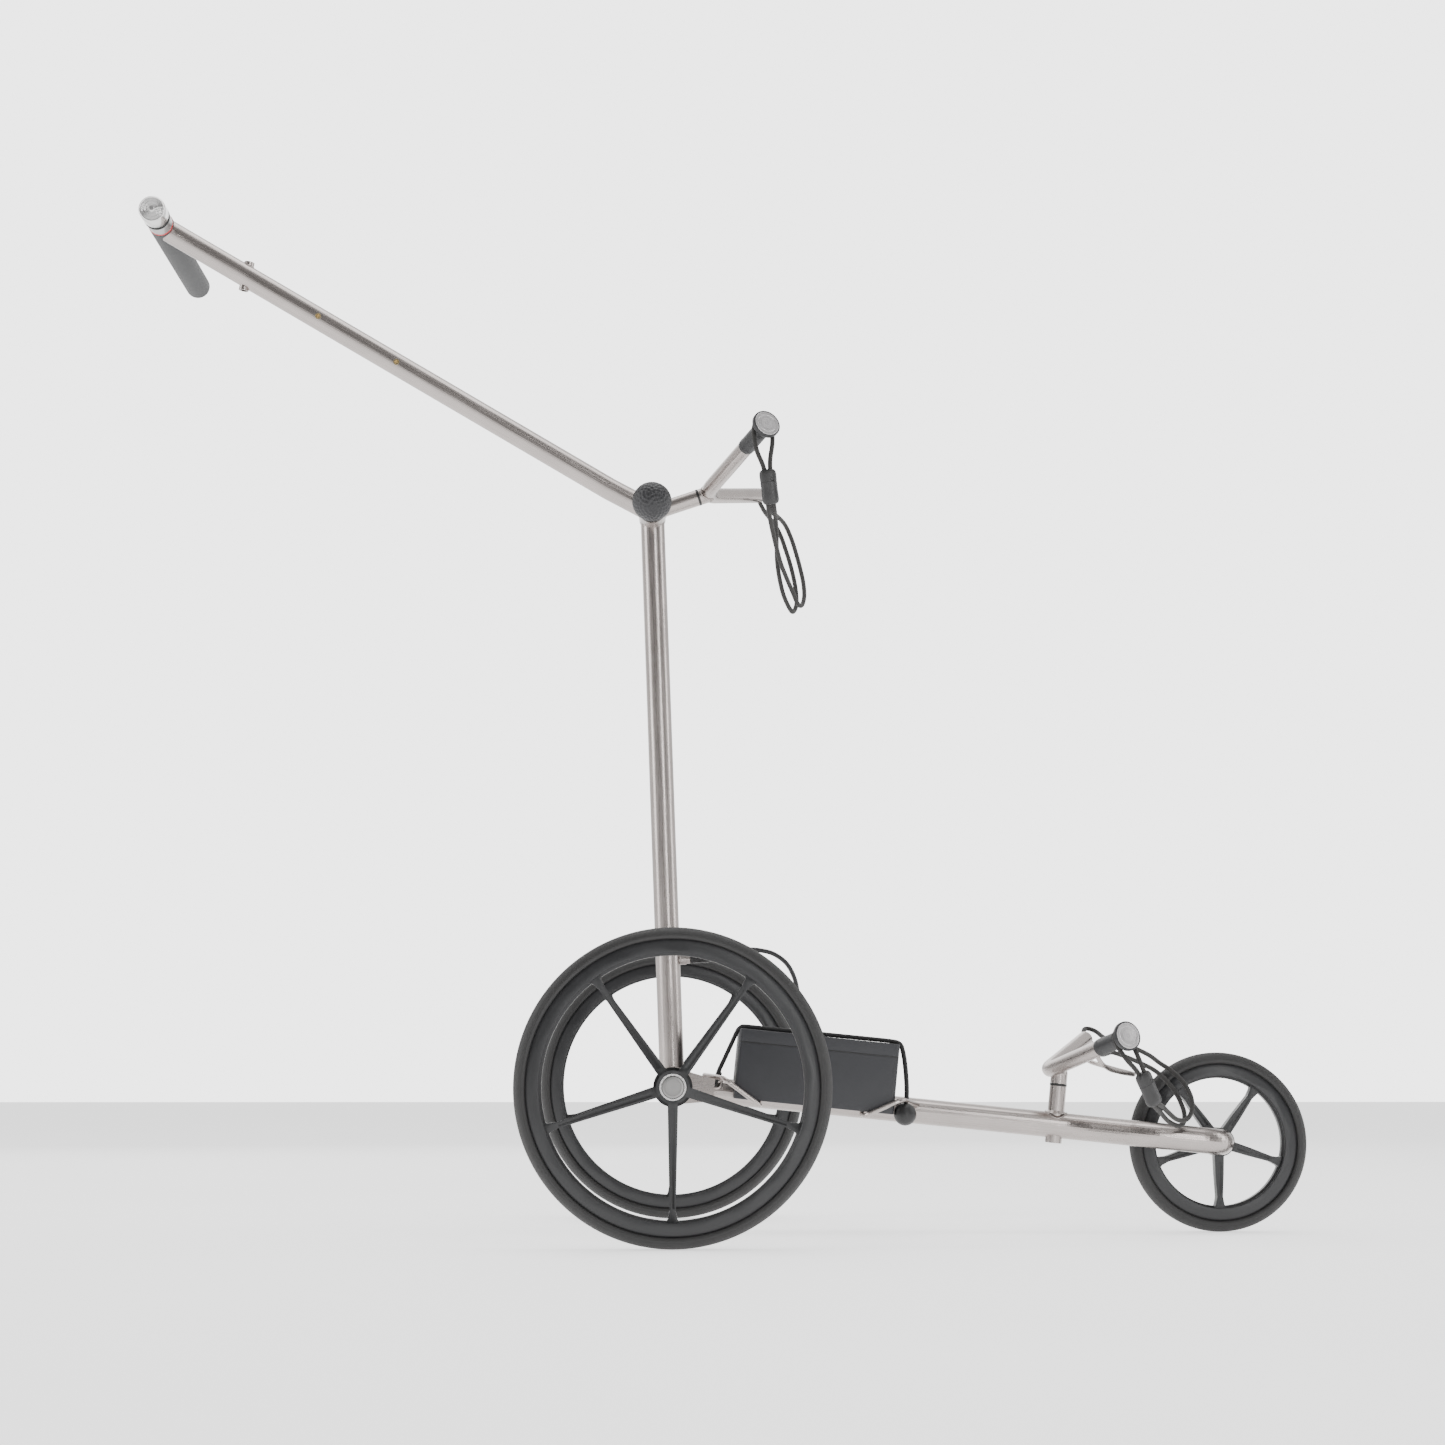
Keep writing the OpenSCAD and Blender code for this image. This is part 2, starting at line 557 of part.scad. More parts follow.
// Each cord runs from the far arm's plug, through its lock, round the near pad's neck and back
upper_cord_route = [
  [94.5, 99, 659], [102.9, 114.4, 660.7], [107.5, 121.1, 655.7], [110.3, 119.6, 647],
  [112.6, 108.4, 639.8], [116.3, 89.1, 632.4], [120.6, 69.6, 623.5], [124.8, 54.9, 613.5],
  [129.9, 44.1, 598.3], [134.2, 32.3, 580.6], [138.1, 20.9, 561.9], [141.2, 10.1, 543],
  [141.7, -0.3, 526.2], [138.7, -10.3, 514.7], [134, -18.5, 514.4], [127.6, -30.7, 525.6],
  [120.2, -45.4, 538.9], [113.5, -61.7, 551.6], [108.6, -77.9, 564.9], [103.9, -94.8, 579],
  [100.1, -111.4, 592.1], [98.1, -123.3, 601.7], [96.3, -127.1, 619], [93.4, -130.5, 638.7],
  [86.5, -134.9, 655.2], [83.4, -134.7, 670.6], [84, -129.5, 684.9], [90.2, -124.7, 689.6],
  [98.2, -122.2, 686.3], [102, -126, 677.3], [102.4, -132.3, 664.3], [100.1, -131.1, 646],
  [101, -128.7, 625.6], [103.4, -125.4, 606.4], [104.9, -118.3, 597.9], [106.7, -102.5, 591.8],
  [108.4, -84.6, 580.3], [109.2, -68, 567.4], [110.5, -52.5, 552.7], [113.6, -38.1, 537.7],
  [118.4, -25.4, 522.4], [125.5, -12, 510.3], [129.8, -3.7, 508.6], [133.5, 5.8, 518.4],
  [133.6, 18, 534.6], [131.5, 30.1, 552.3], [128.1, 41.6, 570.4], [124.1, 54.6, 587.6],
  [119.6, 67.3, 604.8], [114.5, 80.3, 618.9], [108.3, 96.2, 631.5], [103, 113.1, 642.6],
  [98.8, 125.2, 653.9], [95.2, 125.8, 661.4], [91.8, 118.3, 664.5], [88.5, 101, 660]];
module upper_cord() color([0.13, 0.13, 0.13]) from_axle() cord(upper_cord_route, cord_r, 8);
lower_cord_route = [
  [450.5, 101, 47.5], [459.1, 118.2, 51.6], [464.4, 127.1, 48], [467.4, 127.2, 40.8],
  [469.6, 116.6, 35.1], [472.9, 96.5, 33.8], [474.5, 75.1, 34.9], [475.8, 54.1, 35.9],
  [482.5, 38.2, 33.2], [490.6, 19.6, 28.8], [499.7, 0.6, 23.2], [509.6, -17.5, 16.2],
  [518.9, -31.2, 5.8], [527.7, -41.8, -8.6], [533.2, -49.9, -25.3], [531.9, -56.4, -37],
  [524.2, -64.6, -40.6], [512.1, -76.8, -35.7], [501.6, -93.3, -27.2], [493.2, -110.3, -21.3],
  [487.2, -120.6, -15.3], [479.7, -125.6, 1], [471.4, -130.7, 15.1], [459.9, -137.2, 27.3],
  [451.2, -135.4, 40.9], [449, -132.1, 52.6], [455, -127.9, 57.6], [462.4, -125.1, 54.3],
  [467.4, -128.7, 43.1], [472.1, -133.6, 30.2], [479.2, -128.6, 14.4], [487.5, -124.4, -4.4],
  [494.2, -118, -16.1], [501.8, -103.3, -20.6], [510.6, -88.7, -27.1], [521.8, -75.3, -34.2],
  [533, -66.2, -34], [540.3, -58.2, -24.6], [541.4, -48, -10.5], [535.6, -35.9, 4.6],
  [525.5, -24.8, 16.2], [516.2, -11.2, 24.1], [508.7, 7.6, 32.2], [500, 26.1, 38.4],
  [490, 46, 44.4], [481.5, 65, 48.8], [476.9, 84.9, 50.1], [474.1, 105.4, 53.6],
  [469.4, 120.5, 59.3], [462.3, 124.8, 62.4], [456.2, 120, 61.5], [453, 104, 54.5]];
module lower_cord() color([0.13, 0.13, 0.13]) from_axle() cord(lower_cord_route, cord_r, 8);

// A cord lock: a flattened plastic barrel on the two strands, pressed by a pin in a side hole
lock_w = 18;
lock_t = 12;
lock_l = 37;
module lock_body() translate([-lock_w / 2, -lock_t / 2, -lock_l]) difference() {
  linear_extrude(height = lock_l) round_rect(lock_w, lock_t, lock_t / 2 - 0.1);
  translate([lock_w - 5, -2, lock_l - 11]) along_y() cylinder(r = 1.4, h = lock_t + 4);
}
module upper_cord_lock() color([0.22, 0.22, 0.23]) from_axle() translate([97, -130, 637.5])
  rotate([9.5, -7, 0]) lock_body();
module lower_cord_lock() color([0.22, 0.22, 0.23]) from_axle() translate([476.5, -128.5, 14])
  rotate([14, -25, 0]) rotate([0, 0, 25]) lock_body();

// ---------- wheels ----------

function tyre_profile(r_in, r_out, half) = concat(
  [[r_in, -half + 2], [r_in, half - 2]],
  [for (a = [90 : -11.25 : -90]) [r_out - 8.5 + 8.5 * cos(a), half * sin(a)]]);
module tyre(r_out, half) along_y() rotate_extrude($fn = 128)
  polygon([for (p = tyre_profile(r_out - 12, r_out, half)) p]);

// Rim, spokes and hub of one wheel, with the wheel's axis along Y
module wheel_rim(r_out, half, hub_r, hub_half) {
  band = 12.5;
  along_y() rotate_extrude($fn = 128) polygon([
    [r_out - 4, -half], [r_out, -half + 2], [r_out, half - 2], [r_out - 4, half],
    [r_out - band, half], [r_out - band - 0.8, half - 1], [r_out - band, 6],
    [r_out - band - 2.5, 4.5], [r_out - band - 2.5, -4.5], [r_out - band, -6],
    [r_out - band - 0.8, -half + 1], [r_out - band, -half]]);
  y_disc(hub_r, -hub_half, hub_half);
  for (k = [0 : spokes - 1]) rotate([0, 90 + 360 / spokes * k, 0]) spoke(hub_r - 2, r_out - band, half);
}
// A spoke along +X: two raised edges with a groove between them on each face
module spoke(from, to, half) difference() {
  along_y() translate([0, 0, -7]) linear_extrude(height = 14) polygon([
    [from, -spoke_w_hub / 2], [from + 20, -spoke_w_hub / 2 + 0.6], [to - 12, -spoke_w_rim / 2],
    [to - 4, -spoke_w_rim / 2 - 1.5], [to + 2, -spoke_w_rim / 2 - 6],
    [to + 2, spoke_w_rim / 2 + 6], [to - 4, spoke_w_rim / 2 + 1.5],
    [to - 12, spoke_w_rim / 2], [from + 20, spoke_w_hub / 2 - 0.6], [from, spoke_w_hub / 2]]);
  for (side = [-1, 1]) translate([0, side * 7, 0]) along_y() translate([0, 0, -1.5])
    linear_extrude(height = 3) polygon([
      [from + 8, -spoke_w_hub / 2 + 3], [to - 14, -spoke_w_rim / 2 + 1.8],
      [to - 14, spoke_w_rim / 2 - 1.8], [from + 8, spoke_w_hub / 2 - 3]]);
}

hub_half = 19;
rear_rim_r = rear_r - 12;
hex_r = 11;
module at_rear(side) from_axle() scale([1, side, 1]) translate([0, wheel_y, 0]) children();
module rear_rim(side) color([0.28, 0.28, 0.3]) at_rear(side) difference() {
  wheel_rim(rear_rim_r, rear_tyre_w / 2 - 0.5, 16, hub_half);
  y_disc(shaft_r + run_gap, -30, 30);
  translate([0, -hub_half - 1, 0]) along_y() cylinder(r = hex_r + 0.4, h = 9.5, $fn = 6);
  y_disc(12.7, 8, 30);
}
module rim_right() rear_rim(-1);
module rim_left() rear_rim(1);
module rear_tyre(side) color([0.22, 0.22, 0.24]) at_rear(side) tyre(rear_r, rear_tyre_w / 2);
module tyre_right() rear_tyre(-1);
module tyre_left() rear_tyre(1);

// Drive coupler: a black disc and a hexagon that drive the hub, on the gearbox shaft
module coupler(side) color([0.1, 0.1, 0.1]) from_axle() scale([1, side, 1]) {
  y_disc(shaft_r, 234, wheel_y + 6);
  y_disc(coupler_r, axle_tube_half + 1, wheel_y - hub_half - slip_gap);
  translate([0, wheel_y - hub_half - 1, 0]) along_y() cylinder(r = hex_r, h = 8, $fn = 6);
}
module coupler_right() coupler(-1);
module coupler_left() coupler(1);

// Bright ring pressed into the hub, and the release button inside it
module hub_ring(side) color("lightgray") at_rear(side) y_tube(12.7, 10.9, 15, hub_half + 0.6);
module hub_ring_right() hub_ring(-1);
module hub_ring_left() hub_ring(1);
module hub_trim(side) color("silver") at_rear(side) {
  y_disc(10.5, 12, hub_half + 1);
  y_disc(6, 9.5, 12);
}
module hub_trim_right() hub_trim(-1);
module hub_trim_left() hub_trim(1);

front_rim_r = front_r - 12;
module at_front() from_axle() translate([wheelbase, 0, -front_drop]) children();
module front_rim() color([0.28, 0.28, 0.3]) at_front() difference() {
  wheel_rim(front_rim_r, front_tyre_w / 2 - 0.5, 15, front_hub_half);
  y_disc(11, -30, 30);
}
module front_tyre() color([0.22, 0.22, 0.24]) at_front() tyre(front_r, front_tyre_w / 2);
module front_bearing() color("gray") at_front() for (y = [-front_hub_half, front_hub_half - 8])
  y_tube(11, shaft_r + run_gap, y, y + 8);

lower_tube();
axle_ears();
axle_tube();
drive_motors();
axle_bearings();
lower_socket();
cradle_rear();
cradle_front();
battery_case();
battery_lid();
battery_cells();
lead_gland();
battery_strap();
strap_ball();
battery_lead();
front_axle();
main_tube();
mast_barrel();
hinge_bolt();
upper_socket();
lead_socket();
lead_plug();
handle_tube();
handle_barrel();
cross_bar();
grip();
grip_collar();
red_ring();
accessory_sleeve();
thread_inserts();
speed_sensor();
speed_dial();
dial_rings();
hinge_knob();
upper_ring();
upper_fork();
upper_sleeves();
upper_disc();
upper_cord();
upper_cord_lock();
lower_ring();
lower_fork();
lower_sleeves();
lower_disc();
foot_rest();
lower_cord();
lower_cord_lock();
coupler_right();
coupler_left();
rim_right();
rim_left();
tyre_right();
tyre_left();
hub_ring_right();
hub_ring_left();
hub_trim_right();
hub_trim_left();
front_rim();
front_tyre();
front_bearing();
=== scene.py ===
import json
import math

import bmesh
import bpy
import numpy as np
from mathutils import Matrix, Vector

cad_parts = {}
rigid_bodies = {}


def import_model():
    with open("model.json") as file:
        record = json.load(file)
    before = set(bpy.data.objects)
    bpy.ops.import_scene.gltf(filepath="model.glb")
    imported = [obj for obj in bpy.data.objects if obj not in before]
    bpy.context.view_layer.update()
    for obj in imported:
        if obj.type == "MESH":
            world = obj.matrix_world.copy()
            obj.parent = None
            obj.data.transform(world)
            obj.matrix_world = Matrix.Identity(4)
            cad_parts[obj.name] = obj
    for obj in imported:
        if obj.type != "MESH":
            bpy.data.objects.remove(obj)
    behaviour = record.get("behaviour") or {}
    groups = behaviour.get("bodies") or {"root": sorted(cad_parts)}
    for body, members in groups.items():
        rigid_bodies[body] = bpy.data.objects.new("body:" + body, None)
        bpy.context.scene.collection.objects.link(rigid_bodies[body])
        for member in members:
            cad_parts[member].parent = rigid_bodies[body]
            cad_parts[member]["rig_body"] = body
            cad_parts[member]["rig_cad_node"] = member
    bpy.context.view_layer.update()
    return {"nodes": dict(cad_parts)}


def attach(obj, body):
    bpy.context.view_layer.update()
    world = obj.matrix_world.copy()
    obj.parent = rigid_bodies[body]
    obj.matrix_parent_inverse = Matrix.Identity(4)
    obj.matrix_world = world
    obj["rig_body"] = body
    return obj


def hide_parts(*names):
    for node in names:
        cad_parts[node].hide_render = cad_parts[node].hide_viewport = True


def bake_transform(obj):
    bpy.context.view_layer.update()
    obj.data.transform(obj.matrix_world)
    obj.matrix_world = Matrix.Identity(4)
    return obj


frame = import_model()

MM = 0.001
NODES = frame["nodes"]

# ---------- frames, in metres ----------

AXLE = Vector((-50.743, 0, 152.5)) * MM
HINGE = Vector((-73.885, 0, 766.064)) * MM
BAR = Vector((-607.057, 0, 1078.612)) * MM
FRONT = Vector((527.257, 0, 94)) * MM
FALL = math.degrees(math.asin(58.5 / math.hypot(578, 58.5)))
LEAN = 2.16
HANDLE_RISE = 28
HANDLE_BEND = 2.6
HANDLE_SIDE = -26
HANDLE_ROOT = 48
HANDLE_BEND_R = 200
HANDLE_L = 561
UPPER_RISE = 18.5
UPPER_PITCH = 28.7
UPPER_STEM_L = 51.5
UPPER_VEE_AT = 7.2
LOWER_FORK_AT = 407.2
LOWER_STEM_L = 41.5
LOWER_PITCH = 30.1
ARM_ANGLE = 59
SLEEVE_AT = 107
SLEEVE_L = 51
WHEEL_Y = 288
REAR_R = 152.5
FRONT_R = 94


def turn(axis, angle):
    return Matrix.Rotation(math.radians(angle), 4, axis)


def move(x, y, z):
    return Matrix.Translation(Vector((x, y, z)) * MM)


def at(point):
    return Matrix.Translation(point)


ALONG_Y = turn("X", -90)
ALONG_X = turn("Y", 90)
LOWER = at(AXLE) @ turn("Y", FALL)
MAST = at(AXLE) @ turn("Y", -LEAN)
HANDLE = at(HINGE) @ move(0, HANDLE_SIDE, 0) @ turn("Y", 180 + HANDLE_RISE) @ turn("X", 90)
bend = math.radians(HANDLE_BEND)
AFTER = (HANDLE @ move(HANDLE_ROOT + HANDLE_BEND_R * math.sin(bend),
                       -HANDLE_BEND_R * (1 - math.cos(bend)), 0)
         @ turn("Z", -HANDLE_BEND) @ move(HANDLE_L, 0, 0))
AT_BAR = at(BAR) @ ALONG_Y
UPPER_ROOT = at(HINGE) @ move(0, 0, 4) @ turn("Z", -1.6) @ turn("Y", -UPPER_RISE)
UPPER_VEE = (UPPER_ROOT @ turn("X", -4.3) @ ALONG_X @ move(0, 0, UPPER_STEM_L + UPPER_VEE_AT)
             @ turn("Y", -90) @ turn("Y", UPPER_RISE - UPPER_PITCH))
LOWER_ROOT = LOWER @ move(LOWER_FORK_AT, 0, 0) @ turn("X", 1.9)
LOWER_VEE = (LOWER_ROOT @ move(0, 0, LOWER_STEM_L) @ turn("Z", -1.4) @ move(-15.6, 0, 12.9)
             @ turn("Y", -(LOWER_PITCH + FALL)))


def on_arm(vee, side, along):
    """The frame of a fork's near (-1) or far (1) arm, with Z along the arm."""
    return vee @ turn("Z", side * ARM_ANGLE) @ move(along, 0, 0) @ ALONG_X


# ---------- camera ----------

TILT = math.radians(7.31)
PAN = math.radians(1.148)
cam_data = bpy.data.cameras.new("camera")
cam = bpy.data.objects.new("camera", cam_data)
bpy.context.scene.collection.objects.link(cam)
cam_data.sensor_width = 36
cam_data.lens = 68.44
cam_data.clip_end = 60
cam.location = Vector((-56.4, -2933, 164.2)) * MM
look = Vector((math.sin(PAN) * math.cos(TILT), math.cos(PAN) * math.cos(TILT), math.sin(TILT)))
cam.rotation_euler = look.to_track_quat("-Z", "Y").to_euler()
bpy.context.scene.camera = cam

# ---------- mesh builders ----------


def piece(name, verts, faces, body, matrix=None, smooth=38, uvs=None):
    """A mesh object from vertices in millimetres in the frame that matrix gives."""
    me = bpy.data.meshes.new(name)
    me.from_pydata([tuple(c * MM for c in v) for v in verts], [], faces)
    me.validate()
    if uvs is not None:
        layer = me.uv_layers.new(name="along")
        for poly in me.polygons:
            for li, uv in zip(poly.loop_indices, uvs[poly.index]):
                layer.data[li].uv = uv
    ob = bpy.data.objects.new(name, me)
    bpy.context.scene.collection.objects.link(ob)
    if matrix is not None:
        ob.matrix_world = matrix
    shade(ob, smooth)
    if body:
        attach(ob, body)
    return ob


def shade(ob, smooth):
    me = ob.data
    me.polygons.foreach_set("use_smooth", [True] * len(me.polygons))
    me.set_sharp_from_angle(angle=math.radians(smooth))


def lathe(name, profile, body, matrix, steps=96, closed=False, smooth=38):
    """A turned form about the local Z axis through (radius, z) points."""
    ring = list(zip(profile, profile[1:] + profile[:1]))
    if sum(a[0] * b[1] - b[0] * a[1] for a, b in ring) < 0:
        profile = profile[::-1]
    verts, rows = [], []
    for r, z in profile:
        if r < 1e-6:
            rows.append([len(verts)] * steps)
            verts.append((0, 0, z))
        else:
            start = len(verts)
            verts += [(r * math.cos(2 * math.pi * k / steps), r * math.sin(2 * math.pi * k / steps), z)
                      for k in range(steps)]
            rows.append(list(range(start, start + steps)))
    faces = []
    pairs = list(zip(rows, rows[1:] + rows[:1])) if closed else list(zip(rows, rows[1:]))
    for a, b in pairs:
        for k in range(steps):
            j = (k + 1) % steps
            quad = [a[k], a[j], b[j], b[k]]
            face = [v for i, v in enumerate(quad) if v not in quad[:i]]
            if len(face) > 2:
                faces.append(face)
    return piece(name, verts, faces, body, matrix, smooth)


def rounded(points, radius, steps=4):
    """Profile points with the corners marked by a third value cut round."""
    out = []
    for i, p in enumerate(points):
        if len(p) < 3 or i in (0, len(points) - 1):
            out.append((p[0], p[1]))
            continue
        a, b, c = (np.array(q[:2], float) for q in (points[i - 1], p, points[i + 1]))
        r = min(radius * p[2], np.linalg.norm(a - b) * 0.45, np.linalg.norm(c - b) * 0.45)
        p0 = b + (a - b) / np.linalg.norm(a - b) * r
        p1 = b + (c - b) / np.linalg.norm(c - b) * r
        for k in range(steps + 1):
            t = k / steps
            out.append(tuple((1 - t) ** 2 * p0 + 2 * t * (1 - t) * b + t * t * p1))
    return out


def smooth_route(points, step):
    """Evenly spaced points on a smooth curve through the route."""
    p = np.array(points, float)
    ends = np.vstack([2 * p[0] - p[1], p, 2 * p[-1] - p[-2]])
    fine = []
    for i in range(len(p) - 1):
        a, b, c, d = ends[i:i + 4]
        for t in np.linspace(0, 1, 24, endpoint=False):
            fine.append(0.5 * (2 * b + (c - a) * t + (2 * a - 5 * b + 4 * c - d) * t * t
                               + (3 * b - a - 3 * c + d) * t ** 3))
    fine.append(p[-1])
    fine = np.array(fine)
    s = np.concatenate([[0], np.cumsum(np.linalg.norm(np.diff(fine, axis=0), axis=1))])
    count = max(3, int(round(s[-1] / step)) + 1)
    even = np.linspace(0, s[-1], count)
    return np.stack([np.interp(even, s, fine[:, k]) for k in range(3)], axis=1)


def sweep(name, path, radius, body, sides=20, closed=False, matrix=None, smooth=50):
    """A tube along path; radius is a number or a function of (distance, angle)."""
    path = np.array(path, float)
    n = len(path)
    if closed:
        tangents = np.roll(path, -1, axis=0) - np.roll(path, 1, axis=0)
    else:
        tangents = np.gradient(path, axis=0)
    tangents /= np.linalg.norm(tangents, axis=1)[:, None]
    ref = np.array([0, 0, 1.0]) if abs(tangents[0][2]) < 0.8 else np.array([1.0, 0, 0])
    normal = np.cross(tangents[0], ref)
    gaps = np.linalg.norm(np.diff(path, axis=0), axis=1)
    dist = np.concatenate([[0], np.cumsum(gaps)])
    verts = []
    for i in range(n):
        normal = normal - tangents[i] * normal.dot(tangents[i])
        normal /= np.linalg.norm(normal)
        side = np.cross(tangents[i], normal)
        for k in range(sides):
            ang = 2 * math.pi * k / sides
            r = radius(dist[i], ang) if callable(radius) else radius
            verts.append(tuple(path[i] + r * (math.cos(ang) * normal + math.sin(ang) * side)))
    faces, uvs = [], []
    for i in range(n if closed else n - 1):
        m = (i + 1) % n
        for k in range(sides):
            j = (k + 1) % sides
            faces.append([i * sides + k, i * sides + j, m * sides + j, m * sides + k])
            u0, u1 = dist[i] * MM, (dist[i] + (gaps[i] if i < n - 1 else gaps[0])) * MM
            uvs.append([(u0, k / sides), (u0, (k + 1) / sides), (u1, (k + 1) / sides), (u1, k / sides)])
    if not closed:
        faces.append(list(range(sides))[::-1])
        uvs.append([(0, 0)] * sides)
        faces.append([(n - 1) * sides + k for k in range(sides)])
        uvs.append([(dist[-1] * MM, 0)] * sides)
    return piece(name, verts, faces, body, matrix, smooth, uvs)


SHARP_EDGE = math.radians(32)


def softened(node, width, segments):
    """A copy of a CAD node whose edges are rounded off by width."""
    src = NODES[node]
    bm = bmesh.new()
    bm.from_mesh(src.data)
    bmesh.ops.remove_doubles(bm, verts=bm.verts, dist=2e-6)
    bmesh.ops.dissolve_limit(bm, angle_limit=math.radians(1), verts=bm.verts, edges=bm.edges)
    edges = [e for e in bm.edges if len(e.link_faces) == 2
             and e.calc_face_angle(0) > SHARP_EDGE]
    bmesh.ops.bevel(bm, geom=edges, offset=width * MM, segments=segments, profile=0.5,
                    affect="EDGES", clamp_overlap=True)
    me = bpy.data.meshes.new(node + "_soft")
    bm.to_mesh(me)
    bm.free()
    ob = bpy.data.objects.new(node + "_soft", me)
    bpy.context.scene.collection.objects.link(ob)
    shade(ob, 28)
    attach(ob, src["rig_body"])
    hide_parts(node)
    return ob


# ---------- materials ----------


class Graph:
    """A small wrapper round a material's node tree."""

    def __init__(self, name):
        self.mat = bpy.data.materials.new(name)
        self.mat.use_nodes = True
        self.nt = self.mat.node_tree
        self.bsdf = self.nt.nodes["Principled BSDF"]

    def node(self, kind, **props):
        n = self.nt.nodes.new(kind)
        for k, v in props.items():
            setattr(n, k, v)
        return n

    def link(self, a, b):
        self.nt.links.new(a, b)

    def coords(self):
        return self.node("ShaderNodeTexCoord").outputs["Object"]

    def math(self, op, a, b=None):
        n = self.node("ShaderNodeMath", operation=op)
        for i, v in enumerate((a, b)):
            if v is None:
                continue
            if isinstance(v, (int, float)):
                n.inputs[i].default_value = v
            else:
                self.link(v, n.inputs[i])
        return n.outputs[0]

    def dot(self, vec, axis):
        n = self.node("ShaderNodeVectorMath", operation="DOT_PRODUCT")
        self.link(vec, n.inputs[0])
        n.inputs[1].default_value = axis
        return n.outputs["Value"]

    def combine(self, *parts):
        n = self.node("ShaderNodeCombineXYZ")
        for i, p in enumerate(parts):
            self.link(p, n.inputs[i])
        return n.outputs[0]

    def noise(self, vec, scale, detail=3, rough=0.5):
        n = self.node("ShaderNodeTexNoise")
        self.link(vec, n.inputs["Vector"])
        n.inputs["Scale"].default_value = scale
        n.inputs["Detail"].default_value = detail
        n.inputs["Roughness"].default_value = rough
        return n.outputs["Fac"]

    def span(self, value, low, high, start=0.3, end=0.7):
        n = self.node("ShaderNodeMapRange")
        self.link(value, n.inputs["Value"])
        n.inputs["From Min"].default_value = start
        n.inputs["From Max"].default_value = end
        n.inputs["To Min"].default_value = low
        n.inputs["To Max"].default_value = high
        return n.outputs["Result"]

    def tint(self, fac, dark, light, start=0.3, end=0.7):
        n = self.node("ShaderNodeValToRGB")
        self.link(fac, n.inputs["Fac"])
        n.color_ramp.elements[0].position = start
        n.color_ramp.elements[0].color = (*dark, 1)
        n.color_ramp.elements[1].position = end
        n.color_ramp.elements[1].color = (*light, 1)
        return n.outputs["Color"]

    def finish(self, colour, rough, height, strength, distance, **constants):
        self.link(colour, self.bsdf.inputs["Base Color"])
        self.link(rough, self.bsdf.inputs["Roughness"])
        bump = self.node("ShaderNodeBump")
        bump.inputs["Strength"].default_value = strength
        bump.inputs["Distance"].default_value = distance
        self.link(height, bump.inputs["Height"])
        self.link(bump.outputs["Normal"], self.bsdf.inputs["Normal"])
        for socket, value in constants.items():
            self.bsdf.inputs[socket.replace("_", " ")].default_value = value
        return self.mat


def scaled(colour, k):
    return tuple(min(1.0, c * k) for c in colour)


def brushed(name, colour, rough, axis):
    """Metal with fine scratches along one direction of the frame."""
    g = Graph(name)
    d = Vector(axis).normalized()
    p = d.orthogonal().normalized()
    q = d.cross(p)
    co = g.coords()
    along = g.math("MULTIPLY", g.dot(co, d), 0.02)
    vec = g.combine(along, g.dot(co, p), g.dot(co, q))
    streak = g.noise(vec, 900, 4, 0.6)
    cloud = g.noise(co, 22, 2)
    tone = g.math("ADD", g.math("MULTIPLY", streak, 0.6), g.math("MULTIPLY", cloud, 0.4))
    return g.finish(g.tint(tone, scaled(colour, 0.9), scaled(colour, 1.08), 0.36, 0.64),
                    g.span(streak, rough - 0.04, rough + 0.07, 0.35, 0.65),
                    streak, 0.012, 0.00004, Metallic=1.0)


def turned(name, colour, rough):
    """Metal with fine circles about the piece's own Z axis."""
    g = Graph(name)
    co = g.coords()
    flat = g.node("ShaderNodeVectorMath", operation="MULTIPLY")
    g.link(co, flat.inputs[0])
    flat.inputs[1].default_value = (1, 1, 0)
    length = g.node("ShaderNodeVectorMath", operation="LENGTH")
    g.link(flat.outputs[0], length.inputs[0])
    zed = g.dot(co, (0, 0, 1))
    circles = g.noise(g.combine(length.outputs["Value"], zed), 2600, 3, 0.6)
    cloud = g.noise(co, 60, 2)
    tone = g.math("ADD", g.math("MULTIPLY", circles, 0.7), g.math("MULTIPLY", cloud, 0.3))
    return g.finish(g.tint(tone, scaled(colour, 0.86), scaled(colour, 1.1), 0.36, 0.64),
                    g.span(circles, rough - 0.05, rough + 0.1), circles, 0.22, 0.0001,
                    Metallic=1.0)


def moulded(name, colour, rough, grain, strength, mottling, **constants):
    """Moulded plastic or rubber: fine grain, and a slightly uneven tone."""
    g = Graph(name)
    co = g.coords()
    fine = g.noise(co, grain, 3, 0.6)
    broad = g.noise(co, 38, 4, 0.6)
    tone = g.math("ADD", g.math("MULTIPLY", broad, 0.65), g.math("MULTIPLY", fine, 0.35))
    return g.finish(g.tint(tone, scaled(colour, 1 - 2 * mottling), scaled(colour, 1 + 2 * mottling)),
                    g.span(broad, rough - 0.05, rough + 0.07), fine, strength, 0.00015,
                    **constants)


